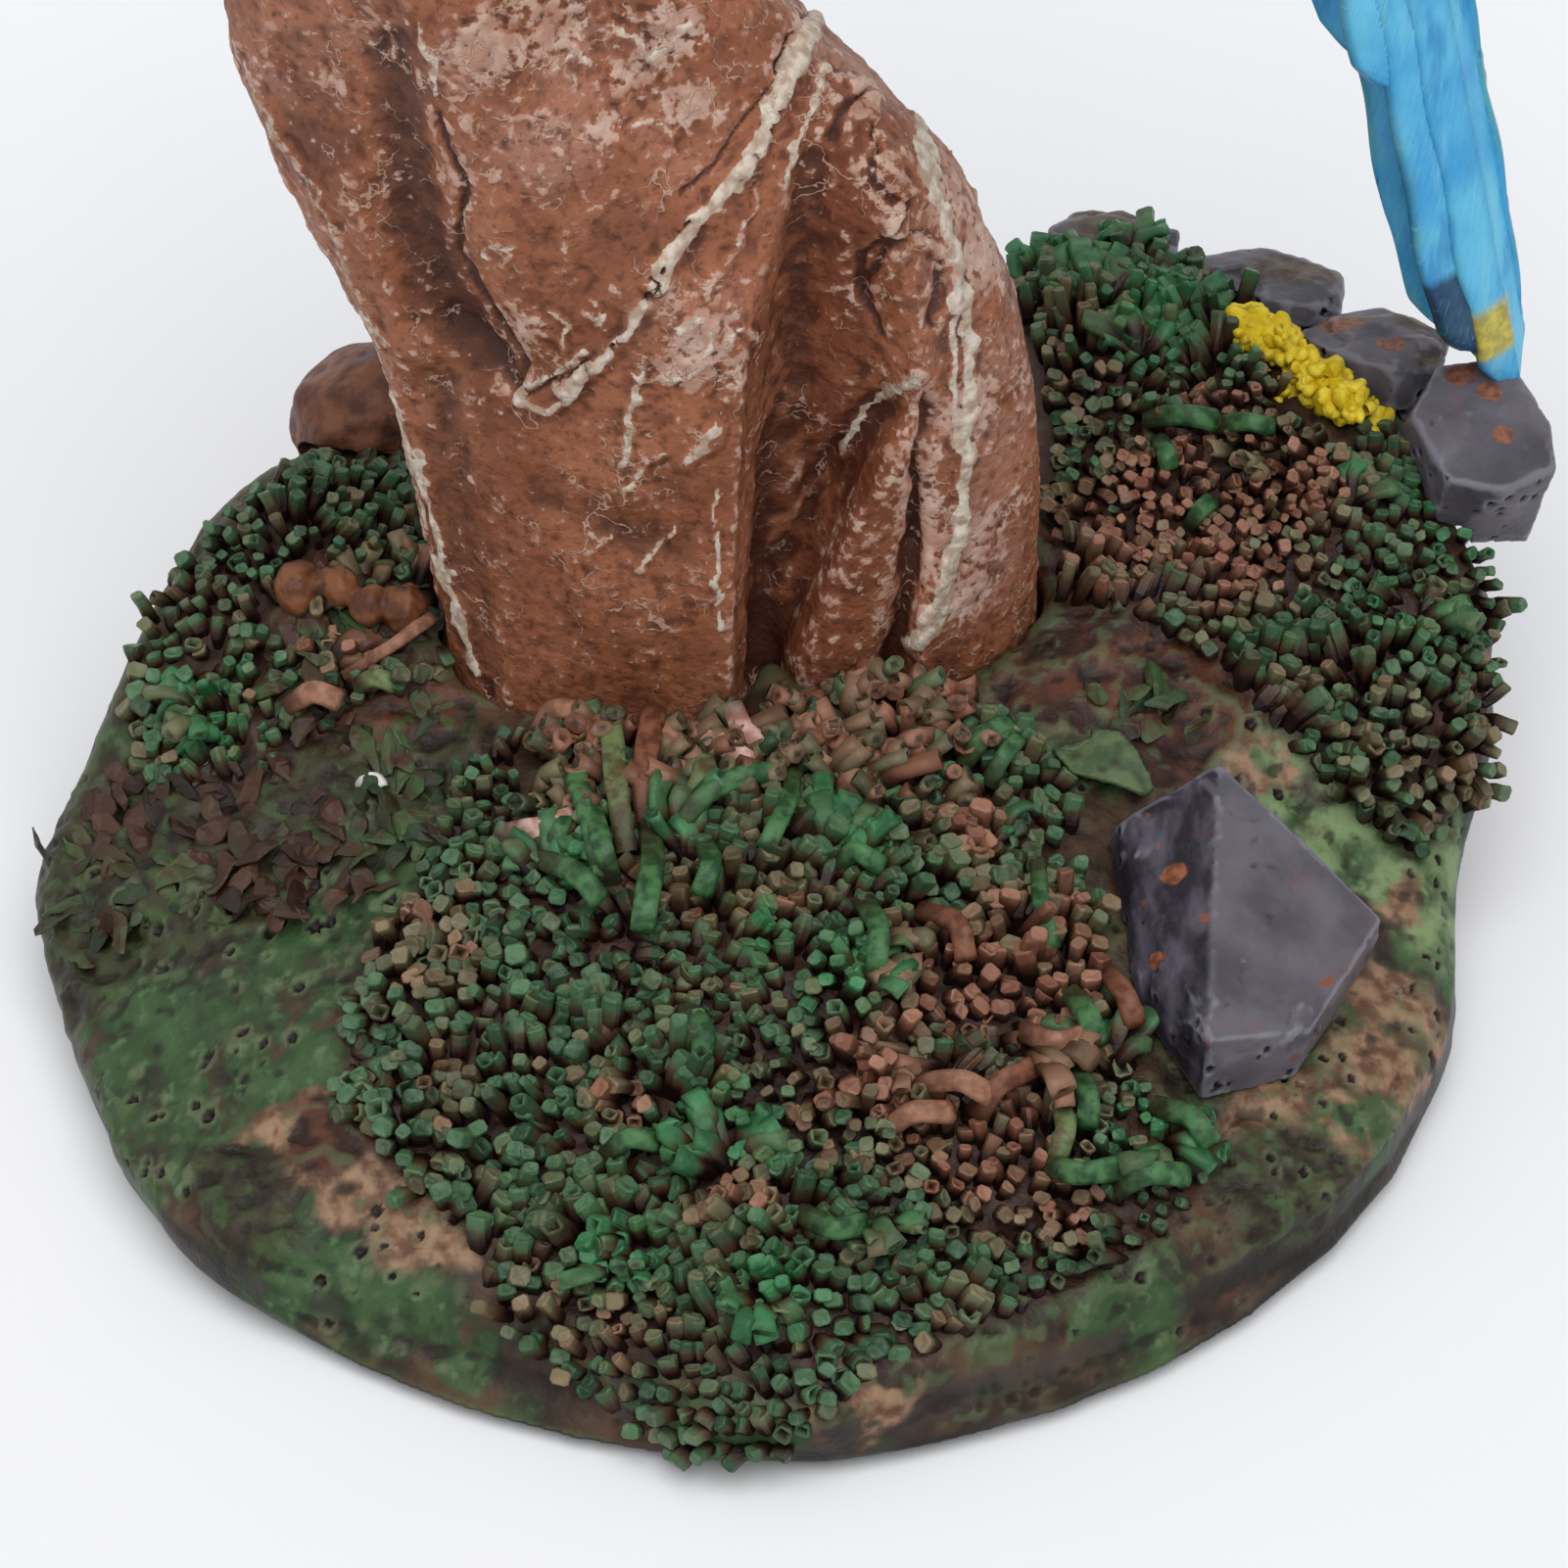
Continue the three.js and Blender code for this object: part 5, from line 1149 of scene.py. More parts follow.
def make_tubes():
    for kind, (dark, light) in TUBE_COLOURS.items():
        skins = []
        for pixels, lift, width in TUBES[kind]:
            line = seen_line(land_tree, pixels)
            if len(line) < 2:
                continue
            share = np.linspace(0, 1, TUBE_RINGS)
            spots = np.linspace(0, 1, len(line))
            curve = np.stack([np.interp(share, spots, line[:, k]) for k in range(3)], axis=1)
            for _ in range(3):
                curve[1:-1] = (curve[:-2] + 2 * curve[1:-1] + curve[2:]) / 4
            rise = 0.3 * width + lift * np.sin(math.pi * (0.06 + 0.72 * share))
            curve = curve - (rise * MM)[:, None] * unit(curve - np.array(camera_place))
            side = unit(np.cross(unit(curve[-1] - curve[0]), np.array(-ahead)))[None]
            girth = width * MM * np.linspace(0.9, 1, TUBE_RINGS)[None]
            skins.append(sweeps(curve[None], side, girth, 0.7, 0.5))
        skin = joined(skins)
        skin.wobble(0.08 * MM, 1.2 * MM, 40)
        paint = Paint(kind + "_tube_paint")
        paint.colour = paint.mottled(1.2, dark, light)
        paint.coat((52, 30, 22), paint.step("tip", 0.55, 0.0), 0.75)
        # The hollowed ends are painted dark: painted shade inside them
        paint.coat((40, 26, 20), paint.step("hole", 0.2, 0.8), 0.8)
        material = paint.finish(0.36, paint.noise(0.4, 4), 0.06)
        skin.piece(kind + "_tubes", material, slot="moss_resin")


# The brushwood at the trunk's foot, in place of the CAD blades

FOOT_STRANDS = 260
FOOT_RINGS = 6


def make_foot_strands(material):
    low, high = (np.array(corner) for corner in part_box("foot_grass"))
    luck = np.random.default_rng(23)
    found = []
    across, along = (luck.uniform(low[k], high[k], FOOT_STRANDS) for k in (0, 1))
    for px, py in zip(across, along):
        hit, _ = from_above(land_tree, px, py)
        spot, normal = from_above(ground_tree, px, py)
        if spot is not None and hit is not None and hit.z - spot.z < MM:
            found.append((*spot, *normal))
    base, normal = np.hsplit(np.array(found), 2)
    count = len(base)
    aside = np.stack([luck.normal(0, 0.7, count), luck.normal(0.1, 0.5, count), np.zeros(count)], axis=1)
    length = luck.uniform(1.8, 3.6, count) * MM
    share = np.linspace(0, 1, FOOT_RINGS)[:, None]
    curve = share * normal[:, None] + 0.8 * share**2 * aside[:, None]
    middle = base[:, None] + length[:, None, None] * curve
    side = unit(np.cross(aside, [0, 0, 1.0]))
    girth = luck.uniform(1.3, 1.9, count)[:, None] * MM * np.linspace(0.9, 1, FOOT_RINGS)
    skin = sweeps(middle, side, girth, 0.8, luck.uniform(0, 0.7, count)[:, None], ROUND_SECTION)
    skin.wobble(0.12 * MM, 1.1 * MM, 50)
    green = np.clip(luck.normal(0.33, 0.35, count), 0, 1)
    paint_strands(skin, green, luck.uniform(0, 0.8, count), np.zeros(count))
    skin.piece("foot_strands", material, ["foot_grass"], "grass_resin")


# Slates, boulder and small things


def slate_paint():
    paint = Paint("slate_paint")
    paint.colour = paint.mottled(5, (74, 70, 78), (102, 98, 106), 0.3, 0.7)
    streaks = paint.specks(2.2, 5, 0.4, 0.68, (1, 2.6, 2.6))
    # Darker streaks over painted shade on the front slate's left side
    paint.coat(paint.mix(streaks, (36, 33, 42), (88, 84, 96)), "flank")
    paint.coat((112, 86, 84), paint.specks(6, 3, 0.56, 0.74), 0.45)
    paint.coat((134, 74, 46), paint.specks(2.4, 2, 0.69, 0.74), 0.85)
    rusty = paint.step(paint.plus("rusty", paint.noise(1.5, 4)), 0.8, 1.0)
    paint.coat(paint.mottled(0.8, (104, 60, 40), (156, 96, 62)), rusty, 0.85)
    paint.coat(paint.mottled(1.5, (60, 42, 32), (96, 84, 62)), "soil")
    # Creases darker: a dark wash together with painted shade
    paint.coat((30, 28, 32), paint.step("relief", -0.15, -0.9), 0.8)
    paint.coat((150, 150, 160), paint.step("relief", 0.35, 1.0), 0.4)
    # Pits painted near black: painted shade inside them
    paint.coat((22, 18, 20), paint.step("pits", 0.2, 0.7))
    return paint.finish(0.4, paint.noise(0.5, 5), 0.07)


SLATE_RUGGEDNESS = {
    "front_slate": 0.3, "corner_slate": 0.22, "rear_slate_right": 0.55, "rear_slate_middle": 0.6,
    "rear_slate_left": 0.6,
}
SLATE_RUST = {
    "corner_slate": [(1492, 376, 2.4), (1536, 442, 1.4), (1520, 400, 1.6)],
    "front_slate": [(1199, 893, 1.7), (1180, 980, 1.2)],
    "rear_slate_right": [(1370, 330, 3), (1420, 350, 2)],
}


def make_slates(material):
    for seed, (node, rugged) in enumerate(SLATE_RUGGEDNESS.items()):
        skin = refined(node, 0.28 * MM, 1)
        points = skin.points
        bent = points * np.array([1, 1, 1.8]) + 1.5 * MM * rough(points, 3 * MM, 3, seed)[:, None]
        _, _, luck = cells(bent, 4 * MM, seed + 3)
        skin.push(rugged * (0.9 * MM * (luck - 0.5) + 0.45 * MM * rough(points, 2.5 * MM, 4, seed + 9)))
        skin.smooth(2, 0.5)
        near, _, luck = cells(points, 1.3 * MM, seed + 20)
        edge = soft(-skin.normals()[:, 2], -0.75, -0.5)
        pits = edge * (luck > 0.55) * (1 - soft(near, 0.18, 0.32))
        skin.push(-0.35 * MM * pits)
        skin.paint.update(relief=skin.relief(5, 0.09 * MM), pits=pits)
        # The front slate's side that faces -X is painted darker: painted shade, with its own streaks
        skin.paint["flank"] = soft(-skin.normals()[:, 0], 0.1, 0.3) * (node == "front_slate")
        mossy = soft(rough(points, 6 * MM, 3, 40), -0.05, 0.2) * soft(skin.normals()[:, 2], 0.2, 0.6)
        skin.paint["rusty"] = 0.55 * spots_near(points, tree_of(node), SLATE_RUST.get(node, []))
        skin.paint["soil"] = 0.85 * mossy * node.startswith("rear")
        skin.piece(node + "_rock", material, [node], "slate_resin")


def lumpy(node, name, slot, dark, light, crease, voxel, bump_size, bump, gloss=0.45):
    """A small thing in two tones, with lumps of its own size and height. Its creases are darker: a dark wash
    together with painted shade.
    """
    skin = refined(node, voxel * MM, 3)
    skin.push(bump * MM * rough(skin.points, bump_size * MM, 3, 3))
    skin.paint["relief"] = skin.relief(5, 0.1 * MM)
    paint = Paint(name + "_paint")
    paint.colour = paint.mottled(2, dark, light)
    # Creases darker: a dark wash together with painted shade
    paint.coat(crease, paint.step("relief", 0.0, -0.8), 0.8)
    skin.piece(name, paint.finish(gloss, paint.noise(0.5, 5), 0.1), [node], slot)


def make_small_things():
    brown = ((80, 46, 34), (124, 80, 58), (40, 24, 18))
    lumpy("back_boulder", "boulder", "boulder_resin", *brown, 0.45, 5, 1.0)
    green = ((62, 82, 56), (98, 114, 80), (56, 44, 28))
    lumpy("fallen_leaf", "leaf", "leaf_resin", *green, 0.3, 4, 0.6)
    yellow = ((214, 184, 20), (244, 216, 50), (150, 116, 18))
    lumpy("yellow_lichen", "lichen", "lichen_resin", *yellow, 0.2, 1.7, 1.3)
    rusty = ((84, 48, 32), (128, 80, 50), (40, 24, 18))
    lumpy("seed_cluster", "nuts", "seed_resin", *rusty, 0.25, 2.5, 0.7, 0.3)


# Bird: its frame has the origin at its rump, +X the way that it faces and +Y its left side

RUMP = np.array([38.4, 25.8, 121.0]) * MM
FACING = math.radians(200.7)
facing_ahead = np.array([math.cos(FACING), math.sin(FACING), 0])
facing_left = np.array([-math.sin(FACING), math.cos(FACING), 0])
bird_axes = np.stack([facing_ahead, facing_left, [0, 0, 1.0]], axis=1)
TAIL_LENGTH = 91 * MM
TAIL_BACK = 21 * MM
tail_way = unit(np.array([-TAIL_BACK, 0, -math.sqrt(TAIL_LENGTH**2 - TAIL_BACK**2)]))
tail_under = unit(np.array([-tail_way[2], 0, tail_way[0]]))
HEAD_PLACE = np.array([24.0, 0, 62.0]) * MM
HEAD_TURN = math.radians(24)


def in_bird(points):
    return (points - RUMP) @ bird_axes


def from_bird(points):
    return points @ bird_axes.T + RUMP


FEATHER_OVERLAP = 1.55


def tiles(across, along):
    """Overlapping rows of rounded feathers: which part of a feather shows at each place in columns and rows.

    Gives its height, from 0 to 1 at its tip, how far across it lies, from -1 to 1, and the feather's luck."""
    shown = np.zeros(len(along), bool)
    height, place, luck = (np.zeros(len(along)) for _ in range(3))
    for back in (1, 0):
        row = np.floor(along) - back
        column = np.floor(across + (row % 2) / 2)
        u = (across + (row % 2) / 2 - column) * 2 - 1
        v = (along - row) / FEATHER_OVERLAP
        here = ~shown & ((v < 1 - 0.4 * u * u) if back else np.ones(len(along), bool))
        shown |= here
        height = np.where(here, v, height)
        place = np.where(here, u, place)
        luck = np.where(here, hashed(column, row, row * 0, 9), luck)
    return height, place, luck


def feather_paint(name, dark, light, edge, second=None, bib=False):
    """Painted feathers: barbs beside each shaft, darker edges, and a second paint where the skin says so."""
    paint = Paint(name)
    paint.colour = paint.mix(paint.step(paint.plus("luck", paint.noise(3)), 0.5, 1.3), dark, light)
    barbs = paint.times(paint.step("barbs", 0.2, 0.9), 0.3)
    rim = paint.times(paint.step("rim", 0.3, 1.0), 0.55)
    paint.coat(light, barbs)
    paint.coat(edge, rim)
    if second:
        other = paint.mix(barbs, paint.mottled(2, *second), second[1])
        paint.coat(paint.mix(rim, other, DEEP_BLUE[0]), "second")
    brushed = paint.times(paint.step("relief", 0.3, 1.0), paint.specks(2, 5, 0.5, 0.62))
    paint.coat((226, 226, 214), brushed, 0.22)
    if bib:
        paint.coat(paint.mottled(1, (22, 22, 24), (44, 44, 46)), "bib")
    return paint.finish(0.4, paint.noise(0.4, 4), 0.05)


def plumage(skin, across, along, depth, pitch):
    """Raises overlapping feathers on a skin and paints what their shafts, barbs and edges need."""
    height, place, luck = tiles(across, along)
    skin.push(depth * (height - 0.5) - 0.25 * depth * place**2)
    barbs = np.sin((along * pitch + np.abs(place) * 0.5 * pitch) / (0.5 * MM) * math.pi)
    rim = np.maximum(soft(height, 0.8, 0.98), soft(-np.abs(place), -0.12, -0.03) * 0.7)
    skin.paint.update(luck=luck, barbs=0.5 + 0.5 * barbs, rim=rim, relief=skin.relief(5, 0.1 * MM))


COLUMN_LEVELS = 24


def column_angle(bird_points):
    """The angle round the body's upright middle line, which leans as the body does."""
    heights = np.linspace(bird_points[:, 2].min(), bird_points[:, 2].max(), COLUMN_LEVELS)
    level = np.digitize(bird_points[:, 2], heights)
    slices = [bird_points[level == k, 0] for k in range(1, COLUMN_LEVELS + 1)]
    middle = [one.mean() if len(one) else 0 for one in slices]
    x = np.interp(bird_points[:, 2], heights, middle)
    return np.arctan2(bird_points[:, 1], bird_points[:, 0] - x)


NECK_FORWARD = 23 * MM
BODY_COLUMNS = 26
BODY_ROW = 2.9 * MM
YELLOW = ((214, 140, 22), (244, 184, 46))
BLUE = ((36, 118, 178), (66, 162, 216))
DEEP_BLUE = ((20, 84, 150), (44, 134, 200))
NAVY = (18, 48, 92)


def make_body():
    skin = refined("body", 0.4 * MM, 10)
    local = in_bird(skin.points)
    narrowed = 1 - 0.13 * soft(local[:, 2], 46 * MM, 56 * MM)
    neck = np.array([NECK_FORWARD, 0])
    local[:, :2] = neck + (local[:, :2] - neck) * narrowed[:, None]
    skin.points = from_bird(local)
    angle = column_angle(local)
    plumage(skin, angle / math.tau * BODY_COLUMNS, -local[:, 2] / BODY_ROW, 0.55 * MM, BODY_ROW)
    chance = skin.paint["luck"] - 0.5
    skin.paint["second"] = soft(np.abs(angle) + 0.5 * chance, 1.95, 2.1)
    height = local[:, 2] / MM - 1.8 * np.abs(angle) + 1.5 * chance
    skin.paint["bib"] = soft(height, 50.2, 51) * (1 - soft(np.abs(angle) + 0.3 * chance, 1.1, 1.25))
    material = feather_paint("breast_paint", *YELLOW, (176, 98, 18), BLUE, bib=True)
    skin.piece("feathered_body", material, ["body"], "yellow_resin")


WING_ROW_SHARES = [0, 0.1, 0.19, 0.28, 0.38, 0.52, 0.72, 1.0]
WING_ROWS = [0, 1.4, 2.6, 3.7, 4.8, 5.8, 6.8, 8.0]
WING_COLUMNS = 24
LEAN_FROM = -9 * MM
SPINE_HEIGHTS = np.array([-9, 0, 15, 56]) * MM
SPINE_FORWARD = np.array([-2, 1, 8, 21]) * MM


def make_wings():
    material = feather_paint("wing_paint", *DEEP_BLUE, NAVY, ((30, 132, 160), (70, 186, 200)))
    for side in ("left", "right"):
        skin = refined(side + "_wing", 0.32 * MM, 9)
        local = in_bird(skin.points)
        low, high = local[:, 2].min(), local[:, 2].max()
        share = (high - local[:, 2]) / (high - low)
        lean = np.maximum(-local[:, 2] + LEAN_FROM, 0) * TAIL_BACK / TAIL_LENGTH
        spine = np.interp(local[:, 2], SPINE_HEIGHTS, SPINE_FORWARD) - lean
        angle = np.arctan2(np.abs(local[:, 1]), local[:, 0] - spine)
        across = (angle + 0.5 * soft(share, 0.4, 1.0) * (angle - 1.7)) / math.tau * WING_COLUMNS
        along = np.interp(share, WING_ROW_SHARES, WING_ROWS)
        depth = (0.85 - 0.6 * soft(share, 0.66, 0.86)) * MM
        plumage(skin, across, along, depth, 5 * MM)
        skin.paint["second"] = 0.7 * (1 - soft(share, 0.12, 0.34))
        skin.piece(side + "_wing_feathers", material, [side + "_wing"], "blue_resin")


COVERT_COLUMNS = 16
COVERT_ROW = 6 * MM


def make_coverts():
    for node, colours, edge, slot in [
        ("upper_tail_coverts", BLUE, NAVY, "blue_resin"),
        ("under_tail_coverts", YELLOW, (176, 98, 18), "yellow_resin"),
    ]:
        skin = refined(node, 0.32 * MM, 5)
        local = in_bird(skin.points)
        along = (local @ tail_way) / COVERT_ROW
        angle = np.arctan2(local[:, 1], local[:, 0] + 2 * MM)
        plumage(skin, angle / math.tau * COVERT_COLUMNS, along, 0.5 * MM, COVERT_ROW)
        skin.piece(node + "_feathers", feather_paint(node + "_paint", *colours, edge), [node], slot)


# Tail feathers: length share, how far under they lie at the root and at the tip, how far out they lie, and
# their width, in millimetres

TAIL_FEATHERS = [
    (1.0, -0.6, -1.4, 1.6, 7.4), (0.935, 1.2, 1.9, 2.1, 7.2), (0.61, 2.2, 4.6, 2.7, 7.2),
    (0.5, 3.0, 6.4, 3.2, 7.0), (0.4, 3.6, 8.0, 3.6, 6.6),
]
TAIL_ROLL = math.radians(62)
BLADE_STEPS = 150
BLADE_COLUMNS = 21
BARB_PITCH = 0.85 * MM
BLADE_TAPER = ([0, 0.3, 0.85, 1], [0.6, 0.95, 0.92, 0.6])


def blade(root, tip, face, width, luck):
    """One long feather: a thin cambered vane with a shaft, slanting barbs and a rounded end."""
    way = tip - root
    length = np.linalg.norm(way)
    way = way / length
    across = unit(np.cross(way, face))
    out = np.cross(across, way)
    share = np.linspace(0, 1, BLADE_STEPS)
    rounded = np.sqrt(np.clip((1 - share) * length / (0.5 * width), 0.004, 1))
    half = width / 2 * (np.interp(share, *BLADE_TAPER) * rounded)[:, None]
    share = share[:, None]
    s = share * length
    v = np.linspace(-1, 1, BLADE_COLUMNS)[None]
    slant = s + np.abs(v) * half * 1.1
    barb = np.sin(slant / BARB_PITCH * math.tau)
    split = np.sin(slant / (7.3 * MM) + 20 * luck)
    shaft = np.exp(-((v / 0.09) ** 2))
    ragged = 1 + 0.05 * np.sin(s / (2.3 * MM) + 9 * luck) * (np.abs(v) > 0.9)
    top = 0.55 * MM - 0.8 * MM * v**2 + 0.05 * MM * barb * (1 - shaft)
    top = top + 0.2 * MM * shaft - 0.1 * MM * (split > 0.93)
    below = top * 0 - 0.5 * MM - 0.8 * MM * v**2 * 0.6
    middle = root + s[..., None] * way + (v * half * ragged)[..., None] * across
    upper, lower = (middle + height[..., None] * out for height in (top, below))
    ring = np.concatenate([upper, lower[:, ::-1]], axis=1)
    sides = ring.shape[1]
    index = np.arange(BLADE_STEPS * sides).reshape(BLADE_STEPS, sides)
    after = np.roll(index, -1, axis=1)
    faces = np.stack([index[:-1], after[:-1], after[1:], index[1:]], axis=2).reshape(-1, 4)
    caps = [
        (row[k], row[k + 1], row[sides - 2 - k], row[sides - 1 - k]) for row in (index[0][::-1], index[-1])
        for k in range(BLADE_COLUMNS - 1)
    ]
    skin = Skin(ring.reshape(-1, 3), np.concatenate([faces, np.array(caps)]))
    painted = {
        "barbs": 0.5 + 0.5 * barb, "rim": np.maximum(soft(np.abs(v), 0.82, 1.0), shaft),
        "second": soft(np.abs(v), 0.6, 1.0) * soft(share, 0.3, 0.8), "right": soft(v, -0.35, 0.1),
        "mark": soft(share, 0.885, 0.9), "end": soft(share, 0.945, 0.955),
    }
    for key, values in painted.items():
        values = np.broadcast_to(values, (BLADE_STEPS, BLADE_COLUMNS))
        skin.paint[key] = np.concatenate([values, values[:, ::-1]], axis=1).ravel()
    return skin


def tail_paint():
    paint = Paint("tail_paint")
    strokes = paint.noise(2.2, 5, (1, 1, 5))
    paint.colour = paint.mottled(9, (68, 168, 224), (104, 200, 236), detail=3)
    paint.coat((132, 210, 236), paint.step(strokes, 0.5, 0.7), 0.6)
    paint.coat((34, 120, 190), paint.step(strokes, 0.46, 0.3), 0.55)
    paint.coat((40, 128, 184), paint.step("barbs", 0.3, 0.0), 0.25)
    paint.coat((40, 120, 176), "rim", 0.35)
    paint.coat((112, 176, 140), "second", paint.specks(5, 3, 0.48, 0.62, (1, 1, 3)), 0.5)
    paint.coat((24, 76, 140), paint.specks(1.6, 5, 0.68, 0.74, (1, 1, 4)), 0.6)
    paint.coat(paint.mottled(1, (20, 40, 74), (40, 62, 92)), "navy", 0.9)
    herring = paint.times(paint.step("barbs", 0.75, 1.0), paint.specks(3, 3, 0.4, 0.6))
    paint.coat((150, 216, 238), herring, 0.5)
    paint.coat(paint.mottled(1, (176, 156, 20), (222, 198, 50)), "yellow", 0.9)
    return paint.finish(0.38, paint.noise(0.5, 5, (1, 1, 4)), 0.08)


def make_tail():
    material = tail_paint()
    luck = np.random.default_rng(5)
    for name, side in (("left", 1), ("right", -1)):
        face = -tail_under * math.cos(TAIL_ROLL) + np.array([0, side * math.sin(TAIL_ROLL), 0])
        skins = []
        for row, (share, root_under, tip_under, out, width) in enumerate(TAIL_FEATHERS):
            aside = np.array([0, side * out * MM, 0])
            root = root_under * MM * tail_under + aside
            tip = share * TAIL_LENGTH * tail_way + tip_under * MM * tail_under + aside
            feather = blade(from_bird(root), from_bird(tip), face @ bird_axes.T, width * MM, luck.uniform())
            paint = feather.paint
            paint["navy"] = paint["mark"] * (row == 1 and side == 1)
            paint["yellow"] = paint["mark"] * (1 - paint["end"]) * paint["right"] * (row == 0 and side == 1)
            skins.append(feather)
        joined(skins).piece("tail_blades_" + name, material, ["tail_feathers_" + name], "blue_resin")


# Head: the patch and its lines are round the eyes, in the head's own frame

PATCH_WAY = unit(np.array([0.62, 0.76, -0.18]))
PATCH_REACH = 0.72
EYE_WAY = unit(np.array([0.44, 0.86, 0.24]))
CHEEK_LINE_PITCH = 0.105
HEAD_COLUMNS = 22
HEAD_ROW = 0.17


def head_paint():
    paint = Paint("head_paint")
    paint.colour = paint.mix(paint.step(paint.plus("luck", paint.noise(3)), 0.5, 1.3), *BLUE)
    paint.coat(paint.mottled(2, *YELLOW), "neck")
    paint.coat(paint.mottled(2, (60, 140, 70), (104, 178, 86)), "forehead")
    paint.coat(paint.mottled(1, (20, 22, 26), (40, 42, 46)), "throat")
    paint.coat((20, 60, 90), "rim", 0.45)
    paint.coat(paint.mottled(2, (226, 218, 208), (246, 242, 236)), "face")
    paint.coat((40, 40, 44), "lines", paint.specks(0.9, 3, 0.3, 0.5), 0.8)
    return paint.finish(0.4, paint.noise(0.4, 4), 0.05)


def make_head():
    skin = refined("head", 0.3 * MM, 6)
    turn = np.array(Matrix.Rotation(-HEAD_TURN, 3, "Z"))
    local = (in_bird(skin.points) - HEAD_PLACE) @ turn.T
    way = unit(local)
    side_way = np.column_stack([way[:, 0], np.abs(way[:, 1]), way[:, 2]])
    off = np.arccos(np.clip(side_way @ PATCH_WAY, -1, 1)) + 0.06 * noise(skin.points, 2 * MM, 4)
    face = 1 - soft(off, PATCH_REACH - 0.06, PATCH_REACH + 0.06)
    polar = np.arccos(np.clip(way[:, 0], -1, 1))
    azimuth = np.arctan2(way[:, 1], way[:, 2])
    height, _, luck = tiles(azimuth / math.tau * HEAD_COLUMNS, polar / HEAD_ROW)
    skin.push((1 - face) * (0.35 * MM * (height - 0.5)) - 0.1 * MM * face)
    from_eye = np.linalg.norm(side_way - EYE_WAY, axis=1) + 0.03 * noise(skin.points, 1.5 * MM, 6)
    lines = np.sin(from_eye / CHEEK_LINE_PITCH * math.tau)
    lined = face * soft(from_eye, 0.28, 0.34) * soft(-side_way[:, 2], -0.3, 0.0)
    skin.push(0.08 * MM * lined * lines)
    base = 1 - soft(in_bird(skin.points)[:, 2], 55.5 * MM, 59 * MM)
    skin.push(0.7 * MM * base)
    skin.points[:, 2] -= 0.9 * MM * base
    forehead = soft(way[:, 2], 0.25, 0.6) * soft(way[:, 0], -0.1, 0.55)
    throat = soft(-way[:, 2], 0.35, 0.6) * soft(way[:, 0], 0.0, 0.4)
    neck = soft(np.abs(way[:, 1]), 0.2, 0.75) * soft(-way[:, 0], -0.4, 0.3) * soft(-way[:, 2], -0.5, 0.3)
    neck = soft(neck + 0.25 * (luck - 0.5), 0.25, 0.4)
    skin.paint.update(luck=luck, face=face, forehead=forehead, throat=throat, neck=neck)
    skin.paint.update(lines=lined * soft(lines, 0.6, 0.9), rim=soft(height, 0.8, 0.98) * (1 - face))
    skin.piece("feathered_head", head_paint(), ["head"], "blue_resin")


def make_beak():
    paint = Paint("beak_paint")
    paint.colour = paint.mottled(3, (24, 24, 26), (52, 50, 52))
    paint.coat((112, 106, 102), paint.step("relief", 0.2, 0.9), 0.4)
    material = paint.finish(0.25, paint.noise(0.6, 5), 0.05)
    for node in ("upper_beak", "lower_beak"):
        skin = refined(node, 0.22 * MM, 8)
        ripples = np.sin(in_bird(skin.points)[:, 2] / (0.9 * MM) * math.tau)
        skin.push(0.07 * MM * ripples + 0.08 * MM * rough(skin.points, 2 * MM, 3, 2))
        skin.paint["relief"] = skin.relief(5, 0.06 * MM)
        skin.piece(node + "_horn", material, [node], "beak_resin")


EYE_PUPIL = 0.8 * MM
EYE_IRIS = 1.35 * MM


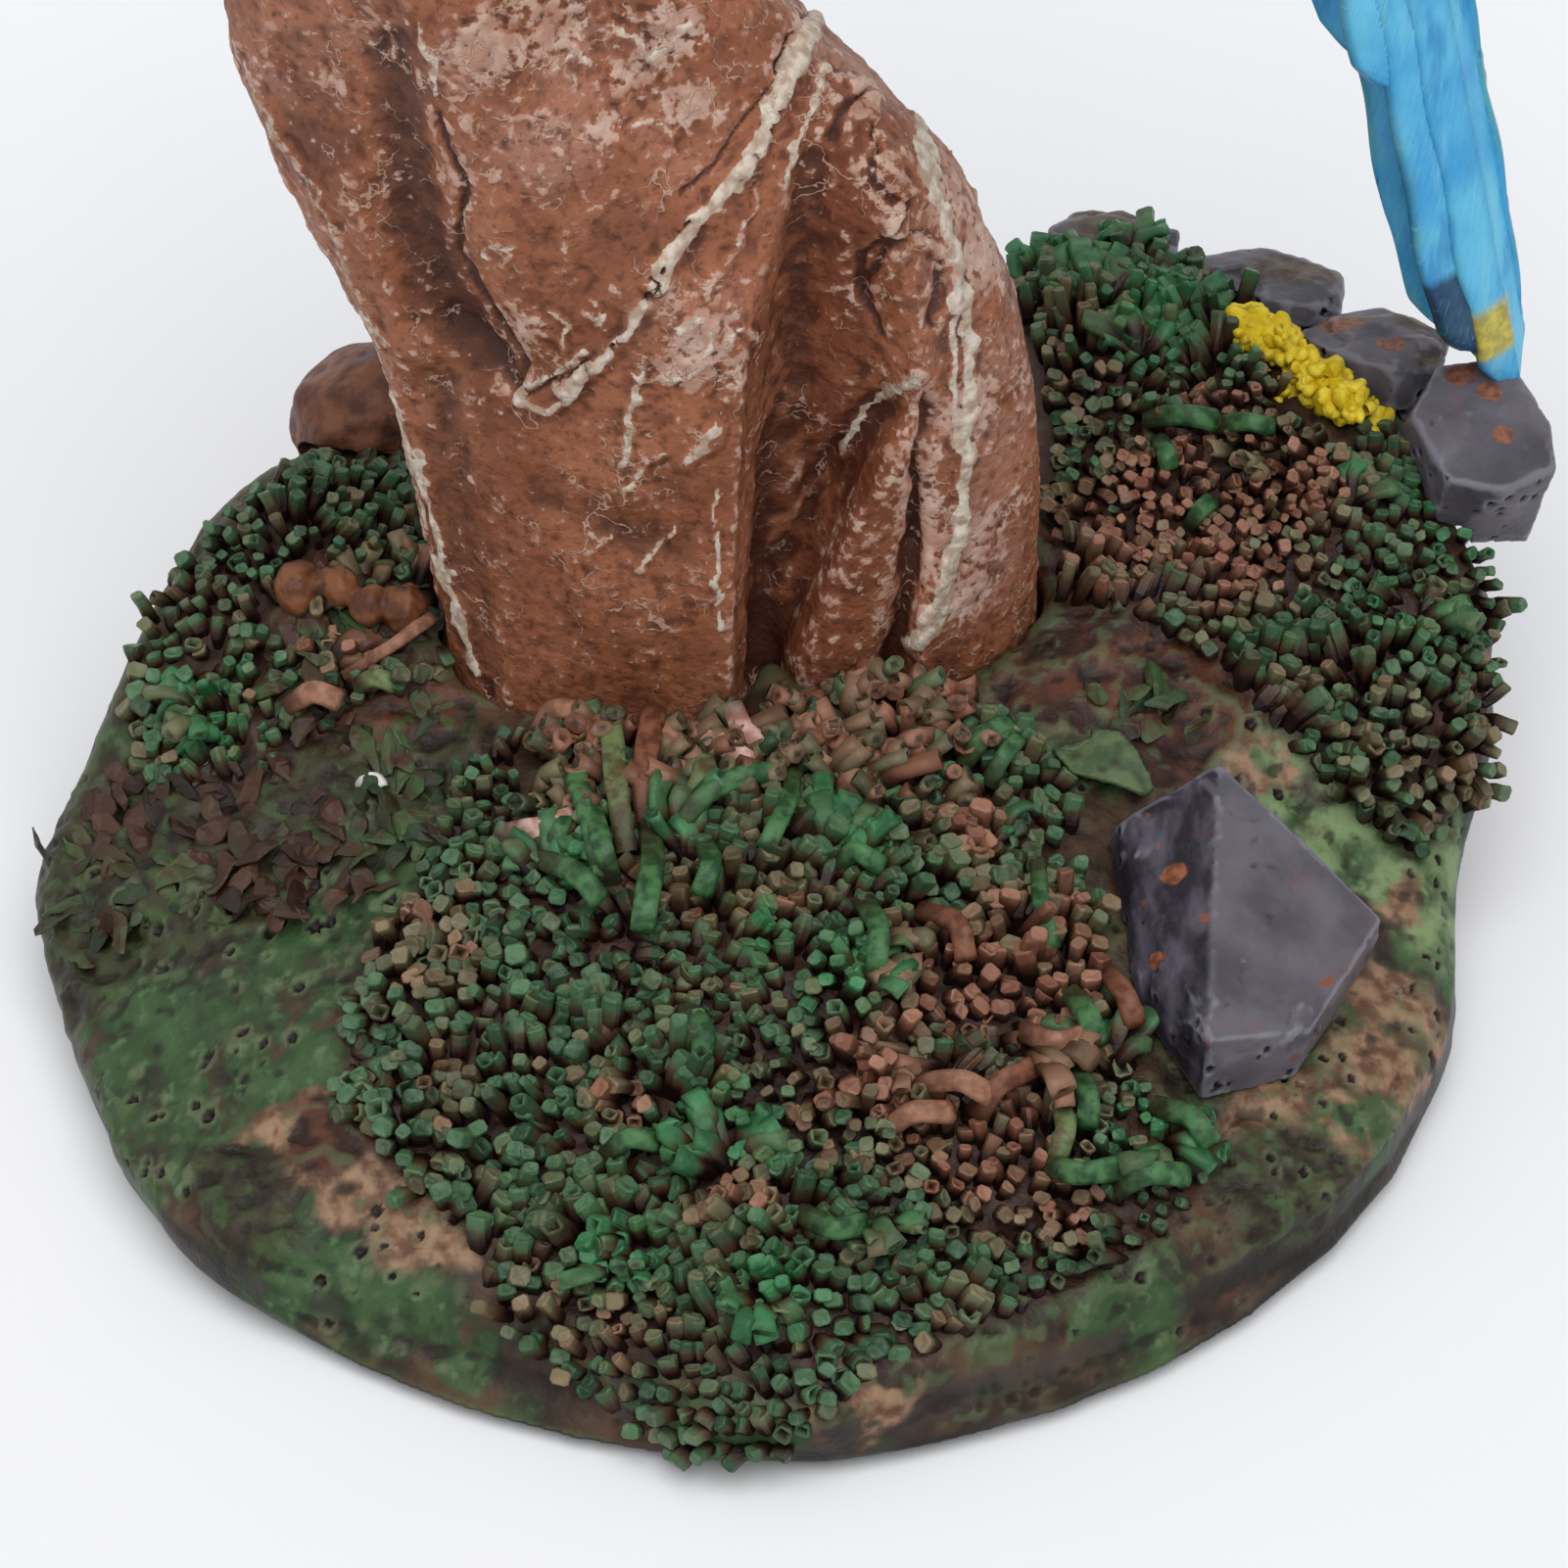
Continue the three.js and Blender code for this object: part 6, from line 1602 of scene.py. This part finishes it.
def make_eyes():
    for name, side in (("left", 1), ("right", -1)):
        skin = refined(name + "_eye", 0.1 * MM, 4)
        turn = np.array(Matrix.Rotation(HEAD_TURN, 3, "Z"))
        way = unit(turn @ np.array([0.4, side * 0.88, 0.22]) @ bird_axes.T)
        off = skin.points - skin.points.mean(axis=0)
        axis = np.linalg.norm(off - (off @ way)[:, None] * way, axis=1)
        skin.paint["pupil"] = 1 - soft(axis, EYE_PUPIL - 0.1 * MM, EYE_PUPIL)
        skin.paint["iris"] = 1 - soft(axis, EYE_IRIS - 0.1 * MM, EYE_IRIS)
        paint = Paint(name + "_eye_paint")
        paint.colour = (24, 22, 20)
        paint.coat(paint.mottled(0.5, (206, 184, 96), (236, 224, 150)), "iris")
        paint.coat((8, 8, 8), "pupil")
        glass = paint.finish(0.06, paint.noise(1), 0.005)
        skin.piece(name + "_glass_eye", glass, [name + "_eye"], "eye_glass")


def make_feet():
    paint = Paint("foot_paint")
    paint.colour = paint.mottled(1.2, (52, 48, 48), (92, 84, 82))
    # Creases darker: a dark wash together with painted shade
    paint.coat((22, 20, 20), paint.step("relief", 0.0, -0.8), 0.8)
    paint.coat((150, 140, 134), paint.step("relief", 0.3, 1.0), 0.4)
    material = paint.finish(0.45, paint.noise(0.4, 5), 0.07)
    for node in ("left_foot", "right_foot"):
        skin = refined(node, 0.2 * MM, 5)
        near, far, _ = cells(skin.points, 1.1 * MM, 3)
        skin.push(0.16 * MM * (soft(far - near, 0.02, 0.25) - 0.5))
        skin.paint["relief"] = skin.relief(4, 0.05 * MM)
        skin.piece(node + "_toes", material, [node], "foot_resin")
    steel = Paint("pin_steel")
    steel.colour = steel.mottled(1, (150, 152, 156), (186, 188, 192))
    steel.shader.inputs["Metallic"].default_value = 1.0
    steel.finish(0.3, steel.noise(0.4, 3, (1, 1, 6)), 0.02)
    for node in ("left_leg_pin", "right_leg_pin"):
        nodes[node].material_slots[0].material = steel.material


make_camera()
make_world()
make_stage()
make_ground()
make_felt()
bark = bark_paint()
make_trunk(bark)
make_limb(bark)
moss = moss_paint()
for moss_seed, moss_node in enumerate(MOSS_NODES):
    make_moss(moss_node, moss, 50 * (moss_seed + 1))
make_clumps(moss)
make_litter()
make_lichen_crumbs()
make_tubes()
make_foot_strands(moss)
make_slates(slate_paint())
make_small_things()
make_body()
make_wings()
make_coverts()
make_tail()
make_head()
make_beak()
make_eyes()
make_feet()

bpy.context.scene.view_settings.view_transform = "Standard"
